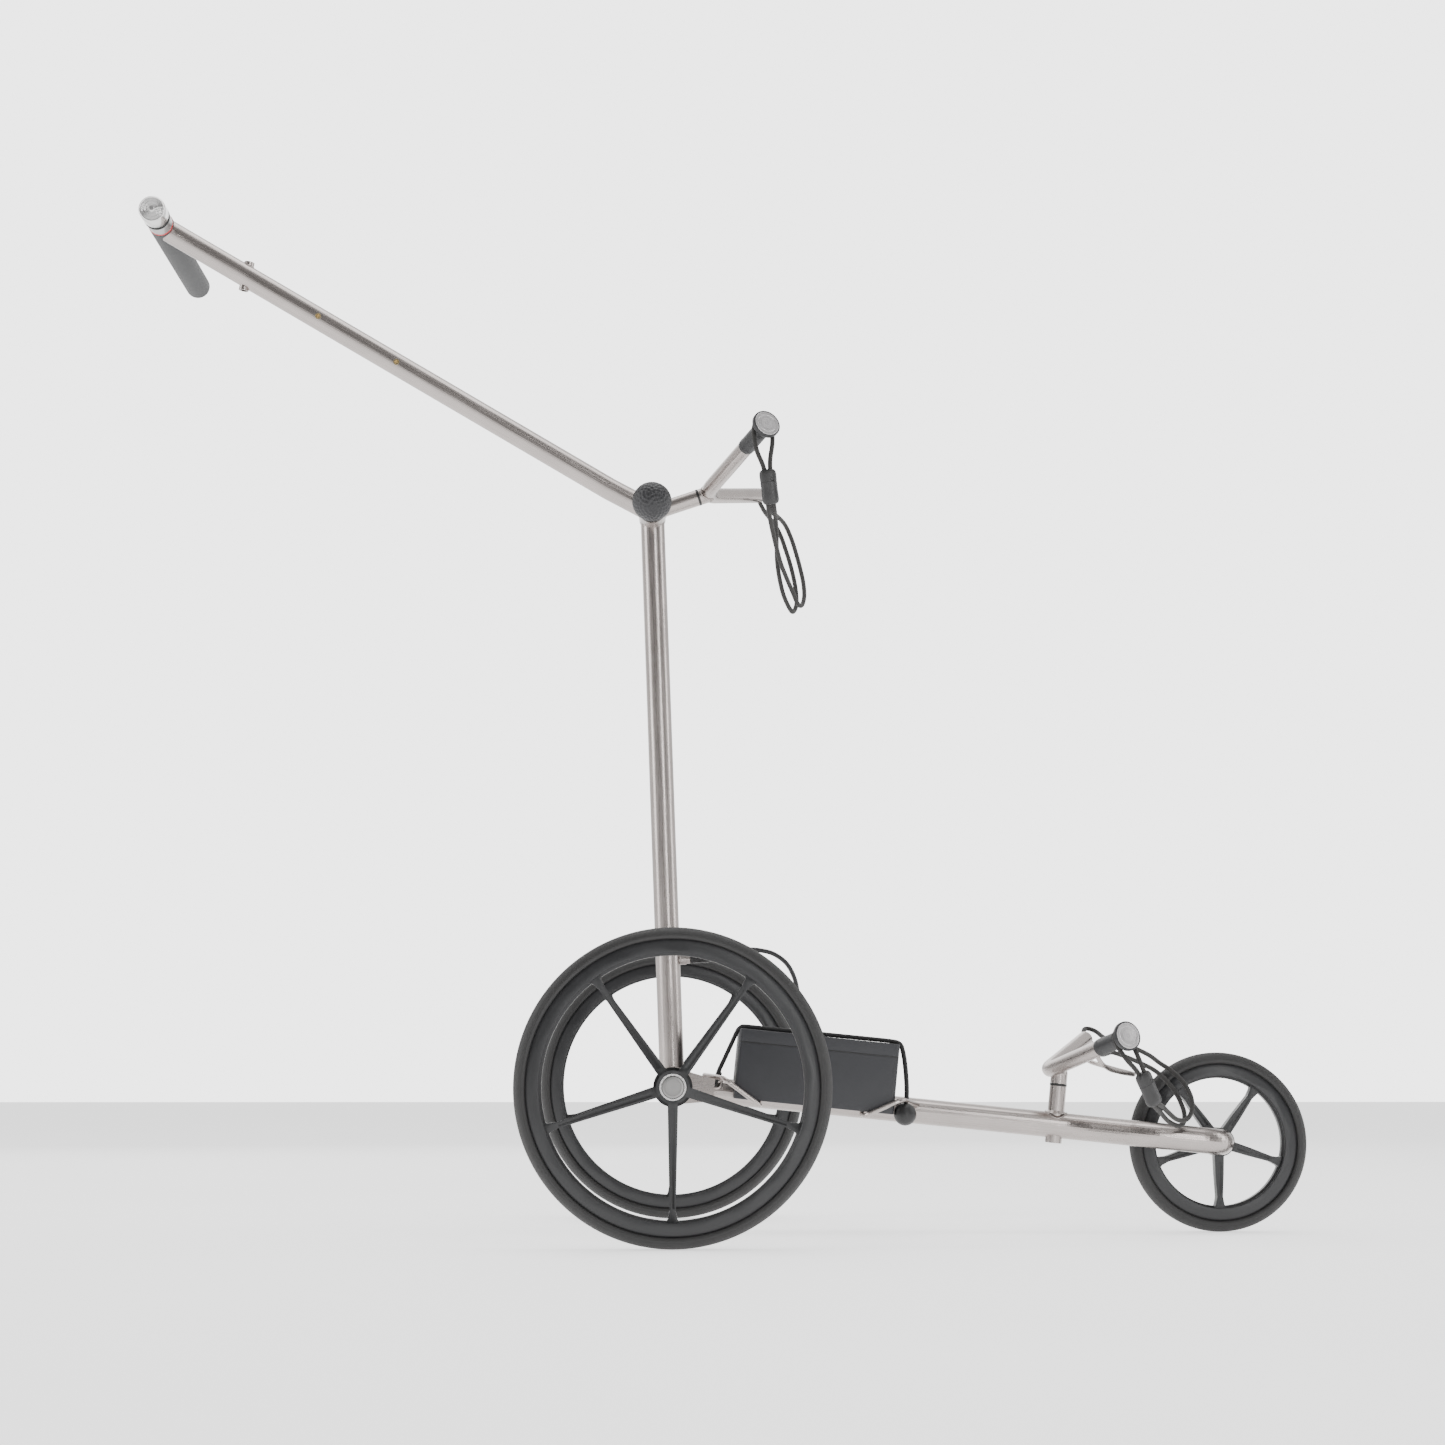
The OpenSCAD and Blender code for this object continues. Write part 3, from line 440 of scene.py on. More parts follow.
def knitted(name, dark, light, pitch, strands):
    """Round braided cord: two sets of yarns that cross, laid out along the piece's own UV."""
    g = Graph(name)
    uv = g.node("ShaderNodeUVMap", uv_map="along").outputs[0]
    sep = g.node("ShaderNodeSeparateXYZ")
    g.link(uv, sep.inputs[0])
    s = g.math("MULTIPLY", sep.outputs[0], 2 * math.pi / pitch)
    v = g.math("MULTIPLY", sep.outputs[1], 2 * math.pi * strands)
    one = g.math("SINE", g.math("ADD", s, v))
    two = g.math("SINE", g.math("SUBTRACT", s, v))
    weave = g.math("MULTIPLY", one, two)
    co = g.coords()
    fuzz = g.noise(co, 4200, 3, 0.7)
    height = g.math("ADD", g.math("MULTIPLY", weave, 0.5), g.math("MULTIPLY", fuzz, 0.5))
    return g.finish(g.tint(height, dark, light, 0.0, 0.6), g.span(fuzz, 0.67, 0.85),
                    height, 0.45, 0.00025, Sheen_Weight=0.1, Sheen_Roughness=0.45)


TITANIUM = (0.4, 0.362, 0.345)
tube_axis = {
    "lower_tube": (math.cos(math.radians(FALL)), 0, -math.sin(math.radians(FALL))),
    "main_tube": (-math.sin(math.radians(LEAN)), 0, math.cos(math.radians(LEAN))),
    "handle_tube": (-math.cos(math.radians(HANDLE_RISE + HANDLE_BEND)), 0,
                    math.sin(math.radians(HANDLE_RISE + HANDLE_BEND))),
    "axle_tube": (0, 1, 0),
}
ti_long = {n: brushed("titanium_" + n, TITANIUM, 0.27, a) for n, a in tube_axis.items()}
ti_x = brushed("titanium_x", TITANIUM, 0.28, (1, 0, 0.2))
ti_y = brushed("titanium_y", TITANIUM, 0.28, (0, 1, 0))
ti_z = brushed("titanium_z", TITANIUM, 0.28, (0.1, 0, 1))
ti_weld = moulded("titanium_weld", scaled(TITANIUM, 0.95), 0.33, 1500, 0.3, 0.12, Metallic=1.0)
bright = turned("bright_metal", (0.72, 0.71, 0.705), 0.2)
collar_grey = turned("collar_metal", (0.42, 0.415, 0.415), 0.34)
satin = turned("satin_disc", (0.6, 0.585, 0.59), 0.36)
hub_satin = turned("hub_satin", (0.3, 0.295, 0.29), 0.42)
bolt_steel = turned("bolt_steel", (0.35, 0.345, 0.34), 0.35)
bearing_steel = moulded("bearing_steel", (0.42, 0.42, 0.42), 0.3, 1200, 0.1, 0.1, Metallic=1.0)
motor_steel = moulded("motor_steel", (0.2, 0.2, 0.21), 0.42, 1000, 0.15, 0.12, Metallic=1.0)
brass = moulded("insert_brass", (0.6, 0.48, 0.27), 0.32, 1200, 0.1, 0.1, Metallic=1.0)
battery_skin = moulded("battery_plastic", (0.0165, 0.017, 0.0205), 0.46, 1500, 0.22, 0.07)
black_plastic = moulded("black_plastic", (0.009, 0.009, 0.0095), 0.42, 2200, 0.06, 0.08)
knob_skin = moulded("knob_plastic", (0.016, 0.016, 0.018), 0.44, 1800, 0.02, 0.04)
lock_skin = moulded("lock_plastic", (0.019, 0.0185, 0.019), 0.42, 2000, 0.05, 0.06)
wheel_skin = moulded("wheel_plastic", (0.014, 0.0143, 0.0155), 0.4, 1600, 0.06, 0.07)
red_gloss = moulded("red_plastic", (0.5, 0.02, 0.025), 0.2, 900, 0.03, 0.05)
board = moulded("circuit_board", (0.02, 0.12, 0.04), 0.4, 1400, 0.1, 0.1)
wrap = moulded("cell_wrap", (0.04, 0.1, 0.25), 0.35, 900, 0.1, 0.08)
grip_skin = moulded("grip_foam", (0.022, 0.022, 0.023), 0.82, 3000, 0.6, 0.14,
                    Sheen_Weight=0.12, Sheen_Roughness=0.5)
sleeve_skin = moulded("sleeve_rubber", (0.014, 0.014, 0.0155), 0.48, 2400, 0.05, 0.06)
ring_skin = moulded("ring_rubber", (0.006, 0.006, 0.006), 0.42, 2400, 0.05, 0.08)
lead_skin = moulded("lead_rubber", (0.014, 0.014, 0.0155), 0.42, 2400, 0.05, 0.08)
tyre_skin = moulded("tyre_rubber", (0.0145, 0.014, 0.014), 0.55, 2600, 0.15, 0.1)
cord_skin = knitted("cord_fabric", (0.007, 0.0065, 0.006), (0.03, 0.028, 0.026), 0.0013, 9)
strap_skin = knitted("strap_elastic", (0.004, 0.004, 0.004), (0.02, 0.02, 0.021), 0.0012, 9)


def dress(ob, mat):
    """Gives a new piece, or a kept CAD node, its material; a new piece also gets its slot."""
    if ob.get("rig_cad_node"):
        for s in ob.material_slots:
            s.material = mat
        if not ob.material_slots:
            ob.data.materials.append(mat)
        return ob
    ob.data.materials.clear()
    ob.data.materials.append(mat)
    return ob


# ---------- free cords ----------

# Metres from the rear axle. The bungees repeat part.scad's route points, which a helper script
# smoothed. The lead's do too, apart from its first, which lies about 0.9 mm nearer the plug.
upper_cord_route = [
    (0.0945, 0.0990, 0.6590), (0.1029, 0.1144, 0.6607), (0.1075, 0.1211, 0.6557),
    (0.1103, 0.1196, 0.6470), (0.1126, 0.1084, 0.6398), (0.1163, 0.0891, 0.6324),
    (0.1206, 0.0696, 0.6235), (0.1248, 0.0549, 0.6135), (0.1299, 0.0441, 0.5983),
    (0.1342, 0.0323, 0.5806), (0.1381, 0.0209, 0.5619), (0.1412, 0.0101, 0.5430),
    (0.1417, -0.0003, 0.5262), (0.1387, -0.0103, 0.5147), (0.1340, -0.0185, 0.5144),
    (0.1276, -0.0307, 0.5256), (0.1202, -0.0454, 0.5389), (0.1135, -0.0617, 0.5516),
    (0.1086, -0.0779, 0.5649), (0.1039, -0.0948, 0.5790), (0.1001, -0.1114, 0.5921),
    (0.0981, -0.1233, 0.6017), (0.0963, -0.1271, 0.6190), (0.0934, -0.1305, 0.6387),
    (0.0865, -0.1349, 0.6552), (0.0834, -0.1347, 0.6706), (0.0840, -0.1295, 0.6849),
    (0.0902, -0.1247, 0.6896), (0.0982, -0.1222, 0.6863), (0.1020, -0.1260, 0.6773),
    (0.1024, -0.1323, 0.6643), (0.1001, -0.1311, 0.6460), (0.1010, -0.1287, 0.6256),
    (0.1034, -0.1254, 0.6064), (0.1049, -0.1183, 0.5979), (0.1067, -0.1025, 0.5918),
    (0.1084, -0.0846, 0.5803), (0.1092, -0.0680, 0.5674), (0.1105, -0.0525, 0.5527),
    (0.1136, -0.0381, 0.5377), (0.1184, -0.0254, 0.5224), (0.1255, -0.0120, 0.5103),
    (0.1298, -0.0037, 0.5086), (0.1335, 0.0058, 0.5184), (0.1336, 0.0180, 0.5346),
    (0.1315, 0.0301, 0.5523), (0.1281, 0.0416, 0.5704), (0.1241, 0.0546, 0.5876),
    (0.1196, 0.0673, 0.6048), (0.1145, 0.0803, 0.6189), (0.1083, 0.0962, 0.6315),
    (0.1030, 0.1131, 0.6426), (0.0988, 0.1252, 0.6539), (0.0952, 0.1258, 0.6614),
    (0.0918, 0.1183, 0.6645), (0.0885, 0.1010, 0.6600)]
lower_cord_route = [
    (0.4505, 0.1010, 0.0475), (0.4591, 0.1182, 0.0516), (0.4644, 0.1271, 0.0480),
    (0.4674, 0.1272, 0.0408), (0.4696, 0.1166, 0.0351), (0.4729, 0.0965, 0.0338),
    (0.4745, 0.0751, 0.0349), (0.4758, 0.0541, 0.0359), (0.4825, 0.0382, 0.0332),
    (0.4906, 0.0196, 0.0288), (0.4997, 0.0006, 0.0232), (0.5096, -0.0175, 0.0162),
    (0.5189, -0.0312, 0.0058), (0.5277, -0.0418, -0.0086), (0.5332, -0.0499, -0.0253),
    (0.5319, -0.0564, -0.0370), (0.5242, -0.0646, -0.0406), (0.5121, -0.0768, -0.0357),
    (0.5016, -0.0933, -0.0272), (0.4932, -0.1103, -0.0213), (0.4872, -0.1206, -0.0153),
    (0.4797, -0.1256, 0.0010), (0.4714, -0.1307, 0.0151), (0.4599, -0.1372, 0.0273),
    (0.4512, -0.1354, 0.0409), (0.4490, -0.1321, 0.0526), (0.4550, -0.1279, 0.0576),
    (0.4624, -0.1251, 0.0543), (0.4674, -0.1287, 0.0431), (0.4721, -0.1336, 0.0302),
    (0.4792, -0.1286, 0.0144), (0.4875, -0.1244, -0.0044), (0.4942, -0.1180, -0.0161),
    (0.5018, -0.1033, -0.0206), (0.5106, -0.0887, -0.0271), (0.5218, -0.0753, -0.0342),
    (0.5330, -0.0662, -0.0340), (0.5403, -0.0582, -0.0246), (0.5414, -0.0480, -0.0105),
    (0.5356, -0.0359, 0.0046), (0.5255, -0.0248, 0.0162), (0.5162, -0.0112, 0.0241),
    (0.5087, 0.0076, 0.0322), (0.5000, 0.0261, 0.0384), (0.4900, 0.0460, 0.0444),
    (0.4815, 0.0650, 0.0488), (0.4769, 0.0849, 0.0501), (0.4741, 0.1054, 0.0536),
    (0.4694, 0.1205, 0.0593), (0.4623, 0.1248, 0.0624), (0.4562, 0.1200, 0.0615),
    (0.4530, 0.1040, 0.0545)]
lead_route = [
    (0.0491, 0, 0.1355), (0.058, 0, 0.138), (0.067, -0.001, 0.141), (0.080, -0.002, 0.144),
    (0.094, -0.004, 0.143), (0.108, -0.006, 0.139), (0.121, -0.009, 0.129), (0.129, -0.012, 0.114),
    (0.133, -0.014, 0.096), (0.136, -0.016, 0.077), (0.1365, -0.016, 0.058)]
LEAD_R = 2.4
LEAD_BOOT_L = 26


def braided(distance, angle):
    """The radius of a round cord whose strands cross."""
    lobes = math.cos(5 * angle + distance * 1.4) * math.cos(5 * angle - distance * 1.4)
    return 2.44 + 0.06 * lobes


def bungee(name, route, body, node):
    """A bungee cord that rides on its fork."""
    path = smooth_route([(AXLE + Vector(p)) / MM for p in route], 1.0)
    ob = sweep(name, path, braided, body, 24)
    dress(ob, cord_skin)
    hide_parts(node)


lead_path = smooth_route([(AXLE + Vector(p)) / MM for p in lead_route], 0.8)


def ribbed_lead(distance, angle):
    """The radius of the lead, with the plug's ribbed boot at its start."""
    if distance < LEAD_BOOT_L:
        return LEAD_R + (1.1 - distance * 0.03) * (0.55 + 0.45 * math.cos(distance * 2.1))
    return LEAD_R


lead = sweep("lead_cable", lead_path, ribbed_lead, None, 20)
dress(lead, lead_skin)
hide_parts("battery_lead")
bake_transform(lead)

# ---------- carried-over CAD nodes ----------

kept = [
    ("titanium", ti_long["lower_tube"], ["lower_tube"]),
    ("titanium", ti_long["main_tube"], ["main_tube"]),
    ("titanium", ti_long["handle_tube"], ["handle_tube"]),
    ("titanium", ti_long["axle_tube"], ["axle_tube"]),
    ("titanium", ti_y, ["mast_barrel", "handle_barrel", "foot_rest", "upper_fork", "lower_fork"]),
    ("titanium", ti_x, ["upper_socket", "lead_socket", "axle_ears", "cradle_rear", "cradle_front"]),
    ("titanium", ti_z, ["lower_socket", "accessory_sleeve"]),
    ("bright_metal", bright, ["cross_bar", "hub_ring_right", "hub_ring_left"]),
    ("bolt_steel", bolt_steel, ["front_axle", "hinge_bolt"]),
    ("bearing_steel", bearing_steel, ["axle_bearings", "front_bearing"]),
    ("motor_steel", motor_steel, ["drive_motors"]),
    ("insert_brass", brass, ["thread_inserts"]),
    ("circuit_board", board, ["speed_sensor"]),
    ("cell_wrap", wrap, ["battery_cells"]),
    ("black_plastic", black_plastic, ["lead_gland", "coupler_right", "coupler_left"]),
    ("ring_rubber", ring_skin, ["upper_ring", "lower_ring"]),
]
for slot_name, mat, names in kept:
    for n in names:
        dress(NODES[n], mat)

for n in ("rim_right", "rim_left", "front_rim"):
    dress(softened(n, 0.5, 2), wheel_skin)

# ---------- battery ----------

for n in ("battery_case", "battery_lid"):
    dress(softened(n, 1.1, 3), battery_skin)

BATTERY_START = 64.5
BATTERY_L = 167.5
BATTERY_W = 104
BATTERY_CORNER = 3
LID_HEIGHT = 53.3
SEAL_DEPTH = 0.35


def lid_groove():
    """A shallow dark joint line between the case and its lid."""
    half_l = BATTERY_L / 2 - SEAL_DEPTH - BATTERY_CORNER
    half_w = BATTERY_W / 2 - SEAL_DEPTH - BATTERY_CORNER
    pts = []
    for cx, cy, start in ((half_l, half_w, 0), (-half_l, half_w, 90), (-half_l, -half_w, 180),
                          (half_l, -half_w, 270)):
        for k in range(5):
            a = math.radians(start + 22.5 * k)
            pts.append((BATTERY_START + BATTERY_L / 2 + cx + BATTERY_CORNER * math.cos(a),
                        cy + BATTERY_CORNER * math.sin(a), LID_HEIGHT))
    ob = sweep("lid_seal", pts, 0.62, "chassis", 10, True, LOWER)
    return dress(ob, ring_skin)


lid_groove()

# Two elastic strands, hitched at the eye behind the battery and held by the ball in front.
# Where they cross the lid they lie lower than in the CAD, so that they touch it.
strap_route = [(46, -17, 6), (49, -18, 16), (55, -20, 29), (61.5, -23, 43), (68, -26, 57),
               (71, -28, 62), (75, -29, 63.5), (92, -30, 62), (127, -31, 58.5), (162, -32, 55),
               (197, -33, 51.5), (230, -34, 48), (238, -34.5, 45.5), (241, -35, 39), (243.5, -36, 25),
               (245, -37, 5), (245, -38, -10), (244, -39.5, -18)]


STRAND_OFFSET = 2.6
LID_DROP = -1.3
LID_START = 70
LID_END = 239


def strap_strand(name, side):
    route = [Vector(p) + Vector((0, side * STRAND_OFFSET, LID_DROP if LID_START < p[0] < LID_END else 0))
             + AXLE / MM for p in strap_route]
    path = smooth_route(route, 1.2)
    return dress(sweep(name, path, lambda s, a: 2.3 + 0.06 * math.cos(3 * a + s * 1.1), "chassis", 18),
                 strap_skin)


strands = [strap_strand("strap_near", -1), strap_strand("strap_far", 1)]
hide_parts("battery_strap")
eye = Vector((46, -16.5, 3.5)) + AXLE / MM
hitch = [eye + Vector((1.2 + 3.0 * math.cos(t), 4.8 * math.sin(t), 5.2 + 4.2 * math.cos(t)))
         for t in np.linspace(0, 2 * math.pi, 41)[:-1]]
dress(sweep("strap_hitch", hitch, 2.1, "chassis", 18, True), strap_skin)
bight = [eye + Vector((1.4 - 4.5 * math.sin(t), 2.7 * math.cos(t), 3.2 - 7.5 * math.sin(t)))
         for t in np.linspace(0, math.pi, 24)]
dress(sweep("strap_bight", bight, 2.1, "chassis", 18), strap_skin)

BALL_R = 11.8
ball_profile = rounded([(0, -BALL_R), (0.01, -BALL_R)] + [
    (BALL_R * math.sin(t), -BALL_R * math.cos(t)) for t in np.linspace(0.05, math.pi - 0.35, 28)]
    + [(4.0, 10.6), (3.4, 9.2), (3.0, 8.0), (0, 8.0)], 0.5)
ball = lathe("strap_ball_skin", ball_profile, "chassis",
             at(AXLE) @ move(242.6, -45, -29) @ turn("X", -38), 72)
dress(ball, black_plastic)
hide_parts("strap_ball")

# ---------- lead plug ----------

plug_at = MAST @ move(0, 0, 133.5) @ ALONG_X
plug_profile = [(0, 16.5), (3.4, 16.5), (3.4, 23.6), (4.6, 24), (5.2, 24.8)]
for k in range(7):
    z = 27 + 2.2 * k
    plug_profile += [(5.2, z), (4.7, z + 0.5), (4.7, z + 1.1), (5.2, z + 1.6)]
plug_profile += [(5.2, 42.2), (4.5, 43), (4.1, 44.5), (3.7, 46.5), (3.9, 47), (3.5, 49), (3.6, 49.6),
                 (3.1, 52), (3.2, 52.5), (2.9, 53.6), (0, 53.6)]
plug = lathe("lead_plug_skin", plug_profile, "mast", plug_at, 64)
dress(plug, black_plastic)
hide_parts("lead_plug")

# ---------- knob, grip and dial ----------


KNOB_R = 20.98
KNOB_OUT = 78
DIMPLES = 318
DIMPLE_ANGLE = 0.094
DIMPLE_DEPTH = 0.62


def golf_knob():
    """A ball with evenly spread dimples, and none where its neck starts."""
    bm = bmesh.new()
    bmesh.ops.create_icosphere(bm, subdivisions=6, radius=1)
    co = np.array([v.co for v in bm.verts])
    i = np.arange(DIMPLES) + 0.5
    phi = np.arccos(1 - 2 * i / DIMPLES)
    theta = math.pi * (1 + 5 ** 0.5) * i
    centres = np.stack([np.cos(theta) * np.sin(phi), np.sin(theta) * np.sin(phi), np.cos(phi)], axis=1)
    near = np.arccos(np.clip((co @ centres.T).max(axis=1), -1, 1))
    depth = np.clip(1 - (near / DIMPLE_ANGLE) ** 2, 0, 1)
    depth = depth * (2 - depth) * DIMPLE_DEPTH
    neck = np.clip((co[:, 2] - 0.86) / 0.04, 0, 1)
    radius = KNOB_R - depth * (1 - neck)
    for v, d, r in zip(bm.verts, co, radius):
        v.co = Vector(d * r * MM)
    me = bpy.data.meshes.new("knob_ball")
    bm.to_mesh(me)
    bm.free()
    ob = bpy.data.objects.new("knob_ball", me)
    bpy.context.scene.collection.objects.link(ob)
    ob.matrix_world = at(HINGE) @ move(0, -KNOB_OUT, 0) @ ALONG_Y
    shade(ob, 60)
    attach(ob, "knob")
    return ob


knob = golf_knob()
dress(knob, knob_skin)
neck = lathe("knob_neck", rounded([(6.1, -62), (9, -62, 1), (9, -45, 1), (10.4, -43.2, 1), (12, -42.6, 1),
                                   (12, -39.4, 1), (6.1, -39.4)], 0.6), "knob", at(HINGE) @ ALONG_Y)
dress(neck, knob_skin)
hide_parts("hinge_knob")

grip_profile = rounded([(11.1, -38.9), (13.2, -38.9, 1), (13.75, -38.0, 1), (13.75, 205, 5.5),
                        (0, 205)], 1.0, 8)
grip = lathe("grip_skin", grip_profile, "handle", AT_BAR, 96)
dress(grip, grip_skin)
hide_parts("grip")
collar = lathe("collar_skin", rounded([(11.05, -58.9), (13.3, -58.9, 1), (13.3, -41.7, 1), (11.05, -41.7)],
                                      0.7), "handle", AT_BAR)
dress(collar, collar_grey)
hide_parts("grip_collar")
red = lathe("red_ring_skin", rounded([(11.05, -41.5), (13.6, -41.5, 1), (13.6, -39.0, 1),
                                      (11.05, -39.0)], 0.8), "handle", AT_BAR)
dress(red, red_gloss)
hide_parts("red_ring")

dial_profile = [(0, -91.7), (2.6, -91.7), (3.0, -91.4), (3.2, -91.0)]
for k in range(14):
    r = 3.6 + 0.62 * k
    dial_profile += [(r, -90.95), (r + 0.2, -90.85), (r + 0.42, -90.85)]
dial_profile += [(12.4, -90.95), (12.8, -91.6), (13.3, -91.9), (13.9, -91.5), (14.2, -90.8),
                 (14.2, -69.8), (13.9, -69.2), (13.0, -69.0), (13.0, -60.6), (3.06, -60.6)]
dial = lathe("dial_skin", dial_profile, "dial", AT_BAR, 128)
dress(dial, bright)
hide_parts("speed_dial")


def o_ring(name, radius, at_z, half):
    """A round rubber ring on the dial."""
    prof = [(radius - half + half * math.cos(t), at_z + half * math.sin(t))
            for t in np.linspace(0, 2 * math.pi, 17)[:-1]]
    return dress(lathe(name, prof, "dial", AT_BAR, 96, True, 60), ring_skin)


front_ring = o_ring("dial_ring_front", 14.2, -67.6, 1.05)
o_ring("dial_ring_back", 14.1, -61.8, 0.95)
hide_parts("dial_rings")

# ---------- fork sleeves, pads and locks ----------

sleeve_profile = rounded([
    (8.0, 0), (8.9, 0, 1), (8.9, 3.2, 1), (9.15, 3.5, 1), (9.15, 4.6, 1), (8.9, 4.9, 1),
    (8.9, SLEEVE_L - 18, 2), (7.3, SLEEVE_L - 15, 2), (7.3, SLEEVE_L - 9.5, 2),
    (14.0, SLEEVE_L - 6.2, 1), (15.2, SLEEVE_L - 4.7, 1.4), (15.2, SLEEVE_L - 0.8, 1),
    (14.6, SLEEVE_L, 1), (13.75, SLEEVE_L, 1), (13.75, SLEEVE_L - 1, 0.5), (0, SLEEVE_L - 1)], 0.8)
disc_profile = rounded([
    (0, SLEEVE_L - 0.05), (9.4, SLEEVE_L - 0.05, 0.2), (9.6, SLEEVE_L - 0.3, 0.2),
    (9.9, SLEEVE_L - 0.3, 0.2), (10.1, SLEEVE_L - 0.05, 0.2), (13.2, SLEEVE_L - 0.05, 1),
    (13.65, SLEEVE_L - 0.5, 1), (13.65, SLEEVE_L - 0.95), (0, SLEEVE_L - 0.95)], 0.5)
far_profile = [(0, 127.4), (4.6, 127.6), (6.0, 128.4), (6.6, 128.7), (6.88, 128.2), (6.88, 117), (0, 117)]
for name, vee in (("upper", UPPER_VEE), ("lower", LOWER_VEE)):
    body = name + "_fork"
    arm = on_arm(vee, -1, SLEEVE_AT)
    sleeve = dress(lathe(name + "_sleeve", sleeve_profile, body, arm), sleeve_skin)
    dress(lathe(name + "_far_plug", far_profile, body, on_arm(vee, 1, 0)), sleeve_skin)
    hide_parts(name + "_sleeves")
    disc = dress(lathe(name + "_pad_disc", disc_profile, body, arm, 128), satin)
    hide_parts(name + "_disc")


LOCK_HALF_W = 8.95
LOCK_HALF_T = 5.95
LOCK_L = 37.0
LOCK_SIDES = 48
LOCK_SQUARENESS = 0.82


def cord_lock(name, body, matrix, node):
    """A flattened barrel with crowned ends and a groove, and its pin. It gives back both."""
    verts = []
    faces = []
    rows = []
    crown = [(0, 0.50), (0.5, 0.70), (1.4, 0.84), (3.0, 0.95), (5.5, 1.0)]
    groove = [(-13.7, 0.985), (-13.4, 0.95), (-12.9, 0.95), (-12.6, 0.985)]
    body_z = ([(-LOCK_L + z, k) for z, k in crown] + [(-26, 0.975), (-20, 0.96)] + groove
              + [(-z, k) for z, k in crown[::-1]])
    for z, k in body_z:
        row = []
        for i in range(LOCK_SIDES):
            a = 2 * math.pi * i / LOCK_SIDES
            c, s = math.cos(a), math.sin(a)
            x = LOCK_HALF_W * k * math.copysign(abs(c) ** LOCK_SQUARENESS, c)
            y = LOCK_HALF_T * k * math.copysign(abs(s) ** (LOCK_SQUARENESS * 0.9), s)
            row.append(len(verts))
            verts.append((x, y, z))
        rows.append(row)
    for a, b in zip(rows, rows[1:]):
        for i in range(LOCK_SIDES):
            j = (i + 1) % LOCK_SIDES
            faces.append([a[i], a[j], b[j], b[i]])
    faces += [rows[0][::-1], rows[-1]]
    ob = dress(piece(name, verts, faces, body, matrix, 30), lock_skin)
    pin = lathe(name + "_pin", [(0, 5.4), (1.1, 5.4), (1.35, 5.7), (1.9, 5.98), (2.1, 5.7), (2.1, 4.6),
                                (0, 4.6)], body, matrix @ move(4, 0, -11) @ turn("X", 90), 32)
    dress(pin, ring_skin)
    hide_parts(node)
    return [ob, pin]


upper_lock_at = at(AXLE) @ move(97, -130, 637.5) @ turn("Y", -7) @ turn("X", 9.5)
lower_lock_at = at(AXLE) @ move(476.5, -128.5, 14) @ turn("Y", -25) @ turn("X", 14) @ turn("Z", 25)
upper_lock = cord_lock("upper_lock_skin", "upper_fork", upper_lock_at, "upper_cord_lock")
lower_lock = cord_lock("lower_lock_skin", "lower_fork", lower_lock_at, "lower_cord_lock")
bungee("upper_bungee", upper_cord_route, "upper_fork", "upper_cord")
bungee("lower_bungee", lower_cord_route, "lower_fork", "lower_cord")

# ---------- tyres and hubs ----------


CROWN_R = 8.5
RIB_PITCH = 1.75
RIB_DEPTH = 0.32


def ribbed_tyre(name, r_out, half, body, centre, node):
    """A round tyre with fine ribs across its whole width."""
    prof = [(r_out - 12, -half + 2), (r_out - 10.5, -half + 0.2)]
    count = int(math.pi * 0.5 * (half + CROWN_R) / RIB_PITCH) * 4
    for k in range(count + 1):
        a = -math.pi / 2 + math.pi * k / count
        dip = RIB_DEPTH * (0.5 - 0.5 * math.cos(math.pi * k / 2)) if 4 < k < count - 4 else 0.0
        prof.append((r_out - CROWN_R + (CROWN_R - dip) * math.cos(a), (half - dip) * math.sin(a)))
    prof += [(r_out - 10.5, half - 0.2), (r_out - 12, half - 2)]
    ob = lathe(name, prof, body, at(centre) @ ALONG_Y, 160, True, 70)
    dress(ob, tyre_skin)
    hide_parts(node)


for side, s in (("right", -1), ("left", 1)):
    centre = AXLE + Vector((0, s * WHEEL_Y, 0)) * MM
    ribbed_tyre("tyre_skin_" + side, REAR_R, 16, "wheel_" + side, centre, "tyre_" + side)
    out = at(centre) @ turn("X", -90 if s > 0 else 90)
    cap = [(0, 19.75), (7.4, 19.75), (7.6, 19.5), (8.0, 19.5), (8.2, 19.75), (9.7, 19.75), (10.3, 19.4),
           (10.5, 18.9), (10.5, 12.1), (6, 12.1), (6, 9.6), (0, 9.6)]
    button = dress(lathe("hub_button_" + side, cap, "button_" + side, out, 96), hub_satin)
    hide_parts("hub_trim_" + side)
ribbed_tyre("front_tyre_skin", FRONT_R, 13.5, "front_wheel", FRONT, "front_tyre")

# ---------- weld beads ----------


SADDLE_STEPS = 120


def saddle(name, matrix, tube_r, barrel_r, body, bead=1.25, axis=(0, 1, 0)):
    """A rippled weld bead where a tube along the local Z axis meets a barrel along axis."""
    bx, by, bz = axis
    pts = []
    for k in range(SADDLE_STEPS):
        a = 2 * math.pi * k / SADDLE_STEPS
        x, y = tube_r * math.cos(a), tube_r * math.sin(a)
        side = x * bx + y * by
        qa, qb = 1 - bz * bz, -2 * bz * side
        qc = x * x + y * y - side * side - barrel_r ** 2
        root = math.sqrt(max(qb * qb - 4 * qa * qc, 0))
        pts.append((x, y, (-qb + root) / (2 * qa)))
    ob = sweep(name, pts, lambda s, a: bead * (1 + 0.16 * math.sin(s * 2.6)), body, 10, True, matrix, 60)
    return dress(ob, ti_weld)


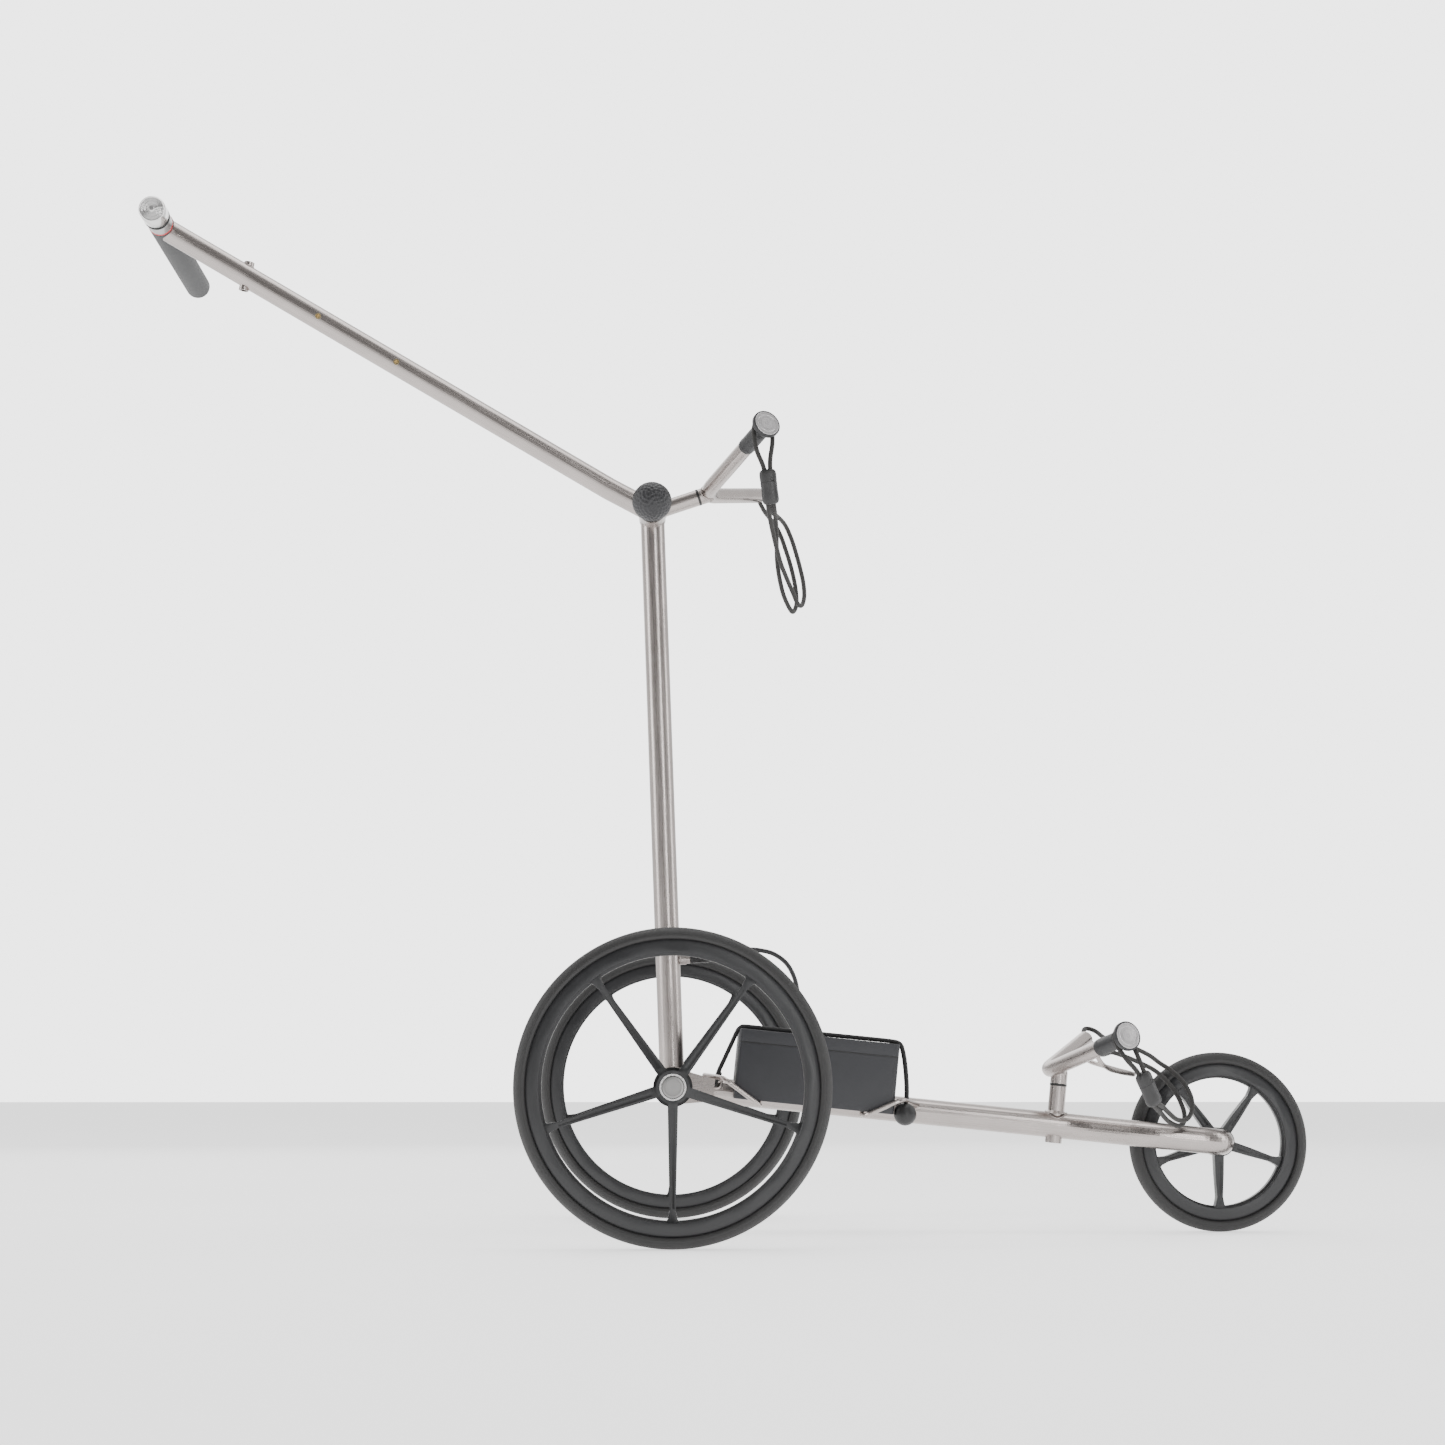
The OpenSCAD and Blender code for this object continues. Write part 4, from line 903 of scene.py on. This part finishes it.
saddle("weld_mast_top", at(HINGE) @ turn("Y", -LEAN) @ turn("X", 180), 13, 14.5, "mast", 0.45)
saddle("weld_mast_foot", MAST, 13, 19.5, "mast")
saddle("weld_upper_socket", UPPER_ROOT @ ALONG_X, 8.75, 14.5, "mast", 1.1)
saddle("weld_handle_root", at(HINGE) @ turn("Y", 180 + HANDLE_RISE) @ move(0, HANDLE_SIDE, 0) @ ALONG_X,
       12, 15, "handle", 0.45)
saddle("weld_lower_socket", LOWER_ROOT @ turn("Z", 90), 11.0, 13.5, "chassis", 1.0)
saddle("weld_accessory", AFTER @ move(-107, 0, 0) @ turn("Z", -70.4) @ ALONG_X, 5.3, 12, "handle", 0.8,
       (0, 0.942, 0.3355))
saddle("weld_upper_fork", UPPER_VEE @ move(6.66, 0, 0) @ turn("Y", -90), 8.75, 8.4, "upper_fork", 1.1)
saddle("weld_lead_socket", plug_at, 6, 13, "mast", 0.7)

# ---------- floor, light and background ----------


def stage_floor():
    """A wide pale floor that glows a little."""
    half = 14000
    ob = piece("floor", [(-half, -half, 0), (half, -half, 0), (half, half, 0), (-half, half, 0)],
               [[0, 1, 2, 3]], None)
    g = Graph("pale_floor")
    co = g.coords()
    tone = g.tint(g.noise(co, 1.5, 2), (0.80, 0.80, 0.80), (0.84, 0.84, 0.84))
    rough = g.span(g.noise(co, 40, 3), 0.7, 0.85)
    mat = g.finish(tone, rough, g.noise(co, 300, 3), 0.03, 0.0002,
                   Emission_Color=(1, 1, 1, 1), Emission_Strength=1.1)
    ob.data.materials.append(mat)


stage_floor()


def softbox(name, place, target, size, power):
    """A soft rectangular light aimed at target."""
    data = bpy.data.lights.new(name, "AREA")
    data.shape = "RECTANGLE"
    data.size, data.size_y = size
    data.energy = power
    ob = bpy.data.objects.new(name, data)
    bpy.context.scene.collection.objects.link(ob)
    ob.location = place
    ob.rotation_euler = (Vector(target) - Vector(place)).to_track_quat("-Z", "Y").to_euler()


softbox("strip_right", (1.25, -3.3, 1.5), (0, 0, 0.5), (0.45, 3.0), 42)
softbox("strip_left", (-3.4, -0.7, 1.6), (0, 0, 0.5), (1.0, 2.6), 50)
softbox("strip_far_right", (3.3, -0.2, 1.4), (0, 0, 0.5), (0.7, 2.6), 32)
softbox("top", (0.1, 0.2, 3.4), (0, 0, 0.4), (2.6, 1.6), 40)
softbox("back", (-0.6, 3.0, 1.8), (0, 0, 0.5), (3.2, 2.0), 35)

# A white background, which is dimmer in reflections on the camera's side than behind the object
world = bpy.data.worlds.new("studio")
bpy.context.scene.world = world
world.use_nodes = True
tree = world.node_tree
background = tree.nodes["Background"]
direction = tree.nodes.new("ShaderNodeTexCoord").outputs["Generated"]
across = tree.nodes.new("ShaderNodeSeparateXYZ")
tree.links.new(direction, across.inputs[0])
span = tree.nodes.new("ShaderNodeMapRange")
tree.links.new(across.outputs["Y"], span.inputs["Value"])
for socket, value in (("From Min", -0.75), ("From Max", 0.5), ("To Min", 0.28), ("To Max", 1.25)):
    span.inputs[socket].default_value = value
ray = tree.nodes.new("ShaderNodeLightPath").outputs["Is Camera Ray"]
seen = tree.nodes.new("ShaderNodeMix")
tree.links.new(ray, seen.inputs["Factor"])
tree.links.new(span.outputs["Result"], seen.inputs["A"])
seen.inputs["B"].default_value = 3.6
tree.links.new(seen.outputs["Result"], background.inputs["Strength"])
background.inputs["Color"].default_value = (1, 1, 1, 1)
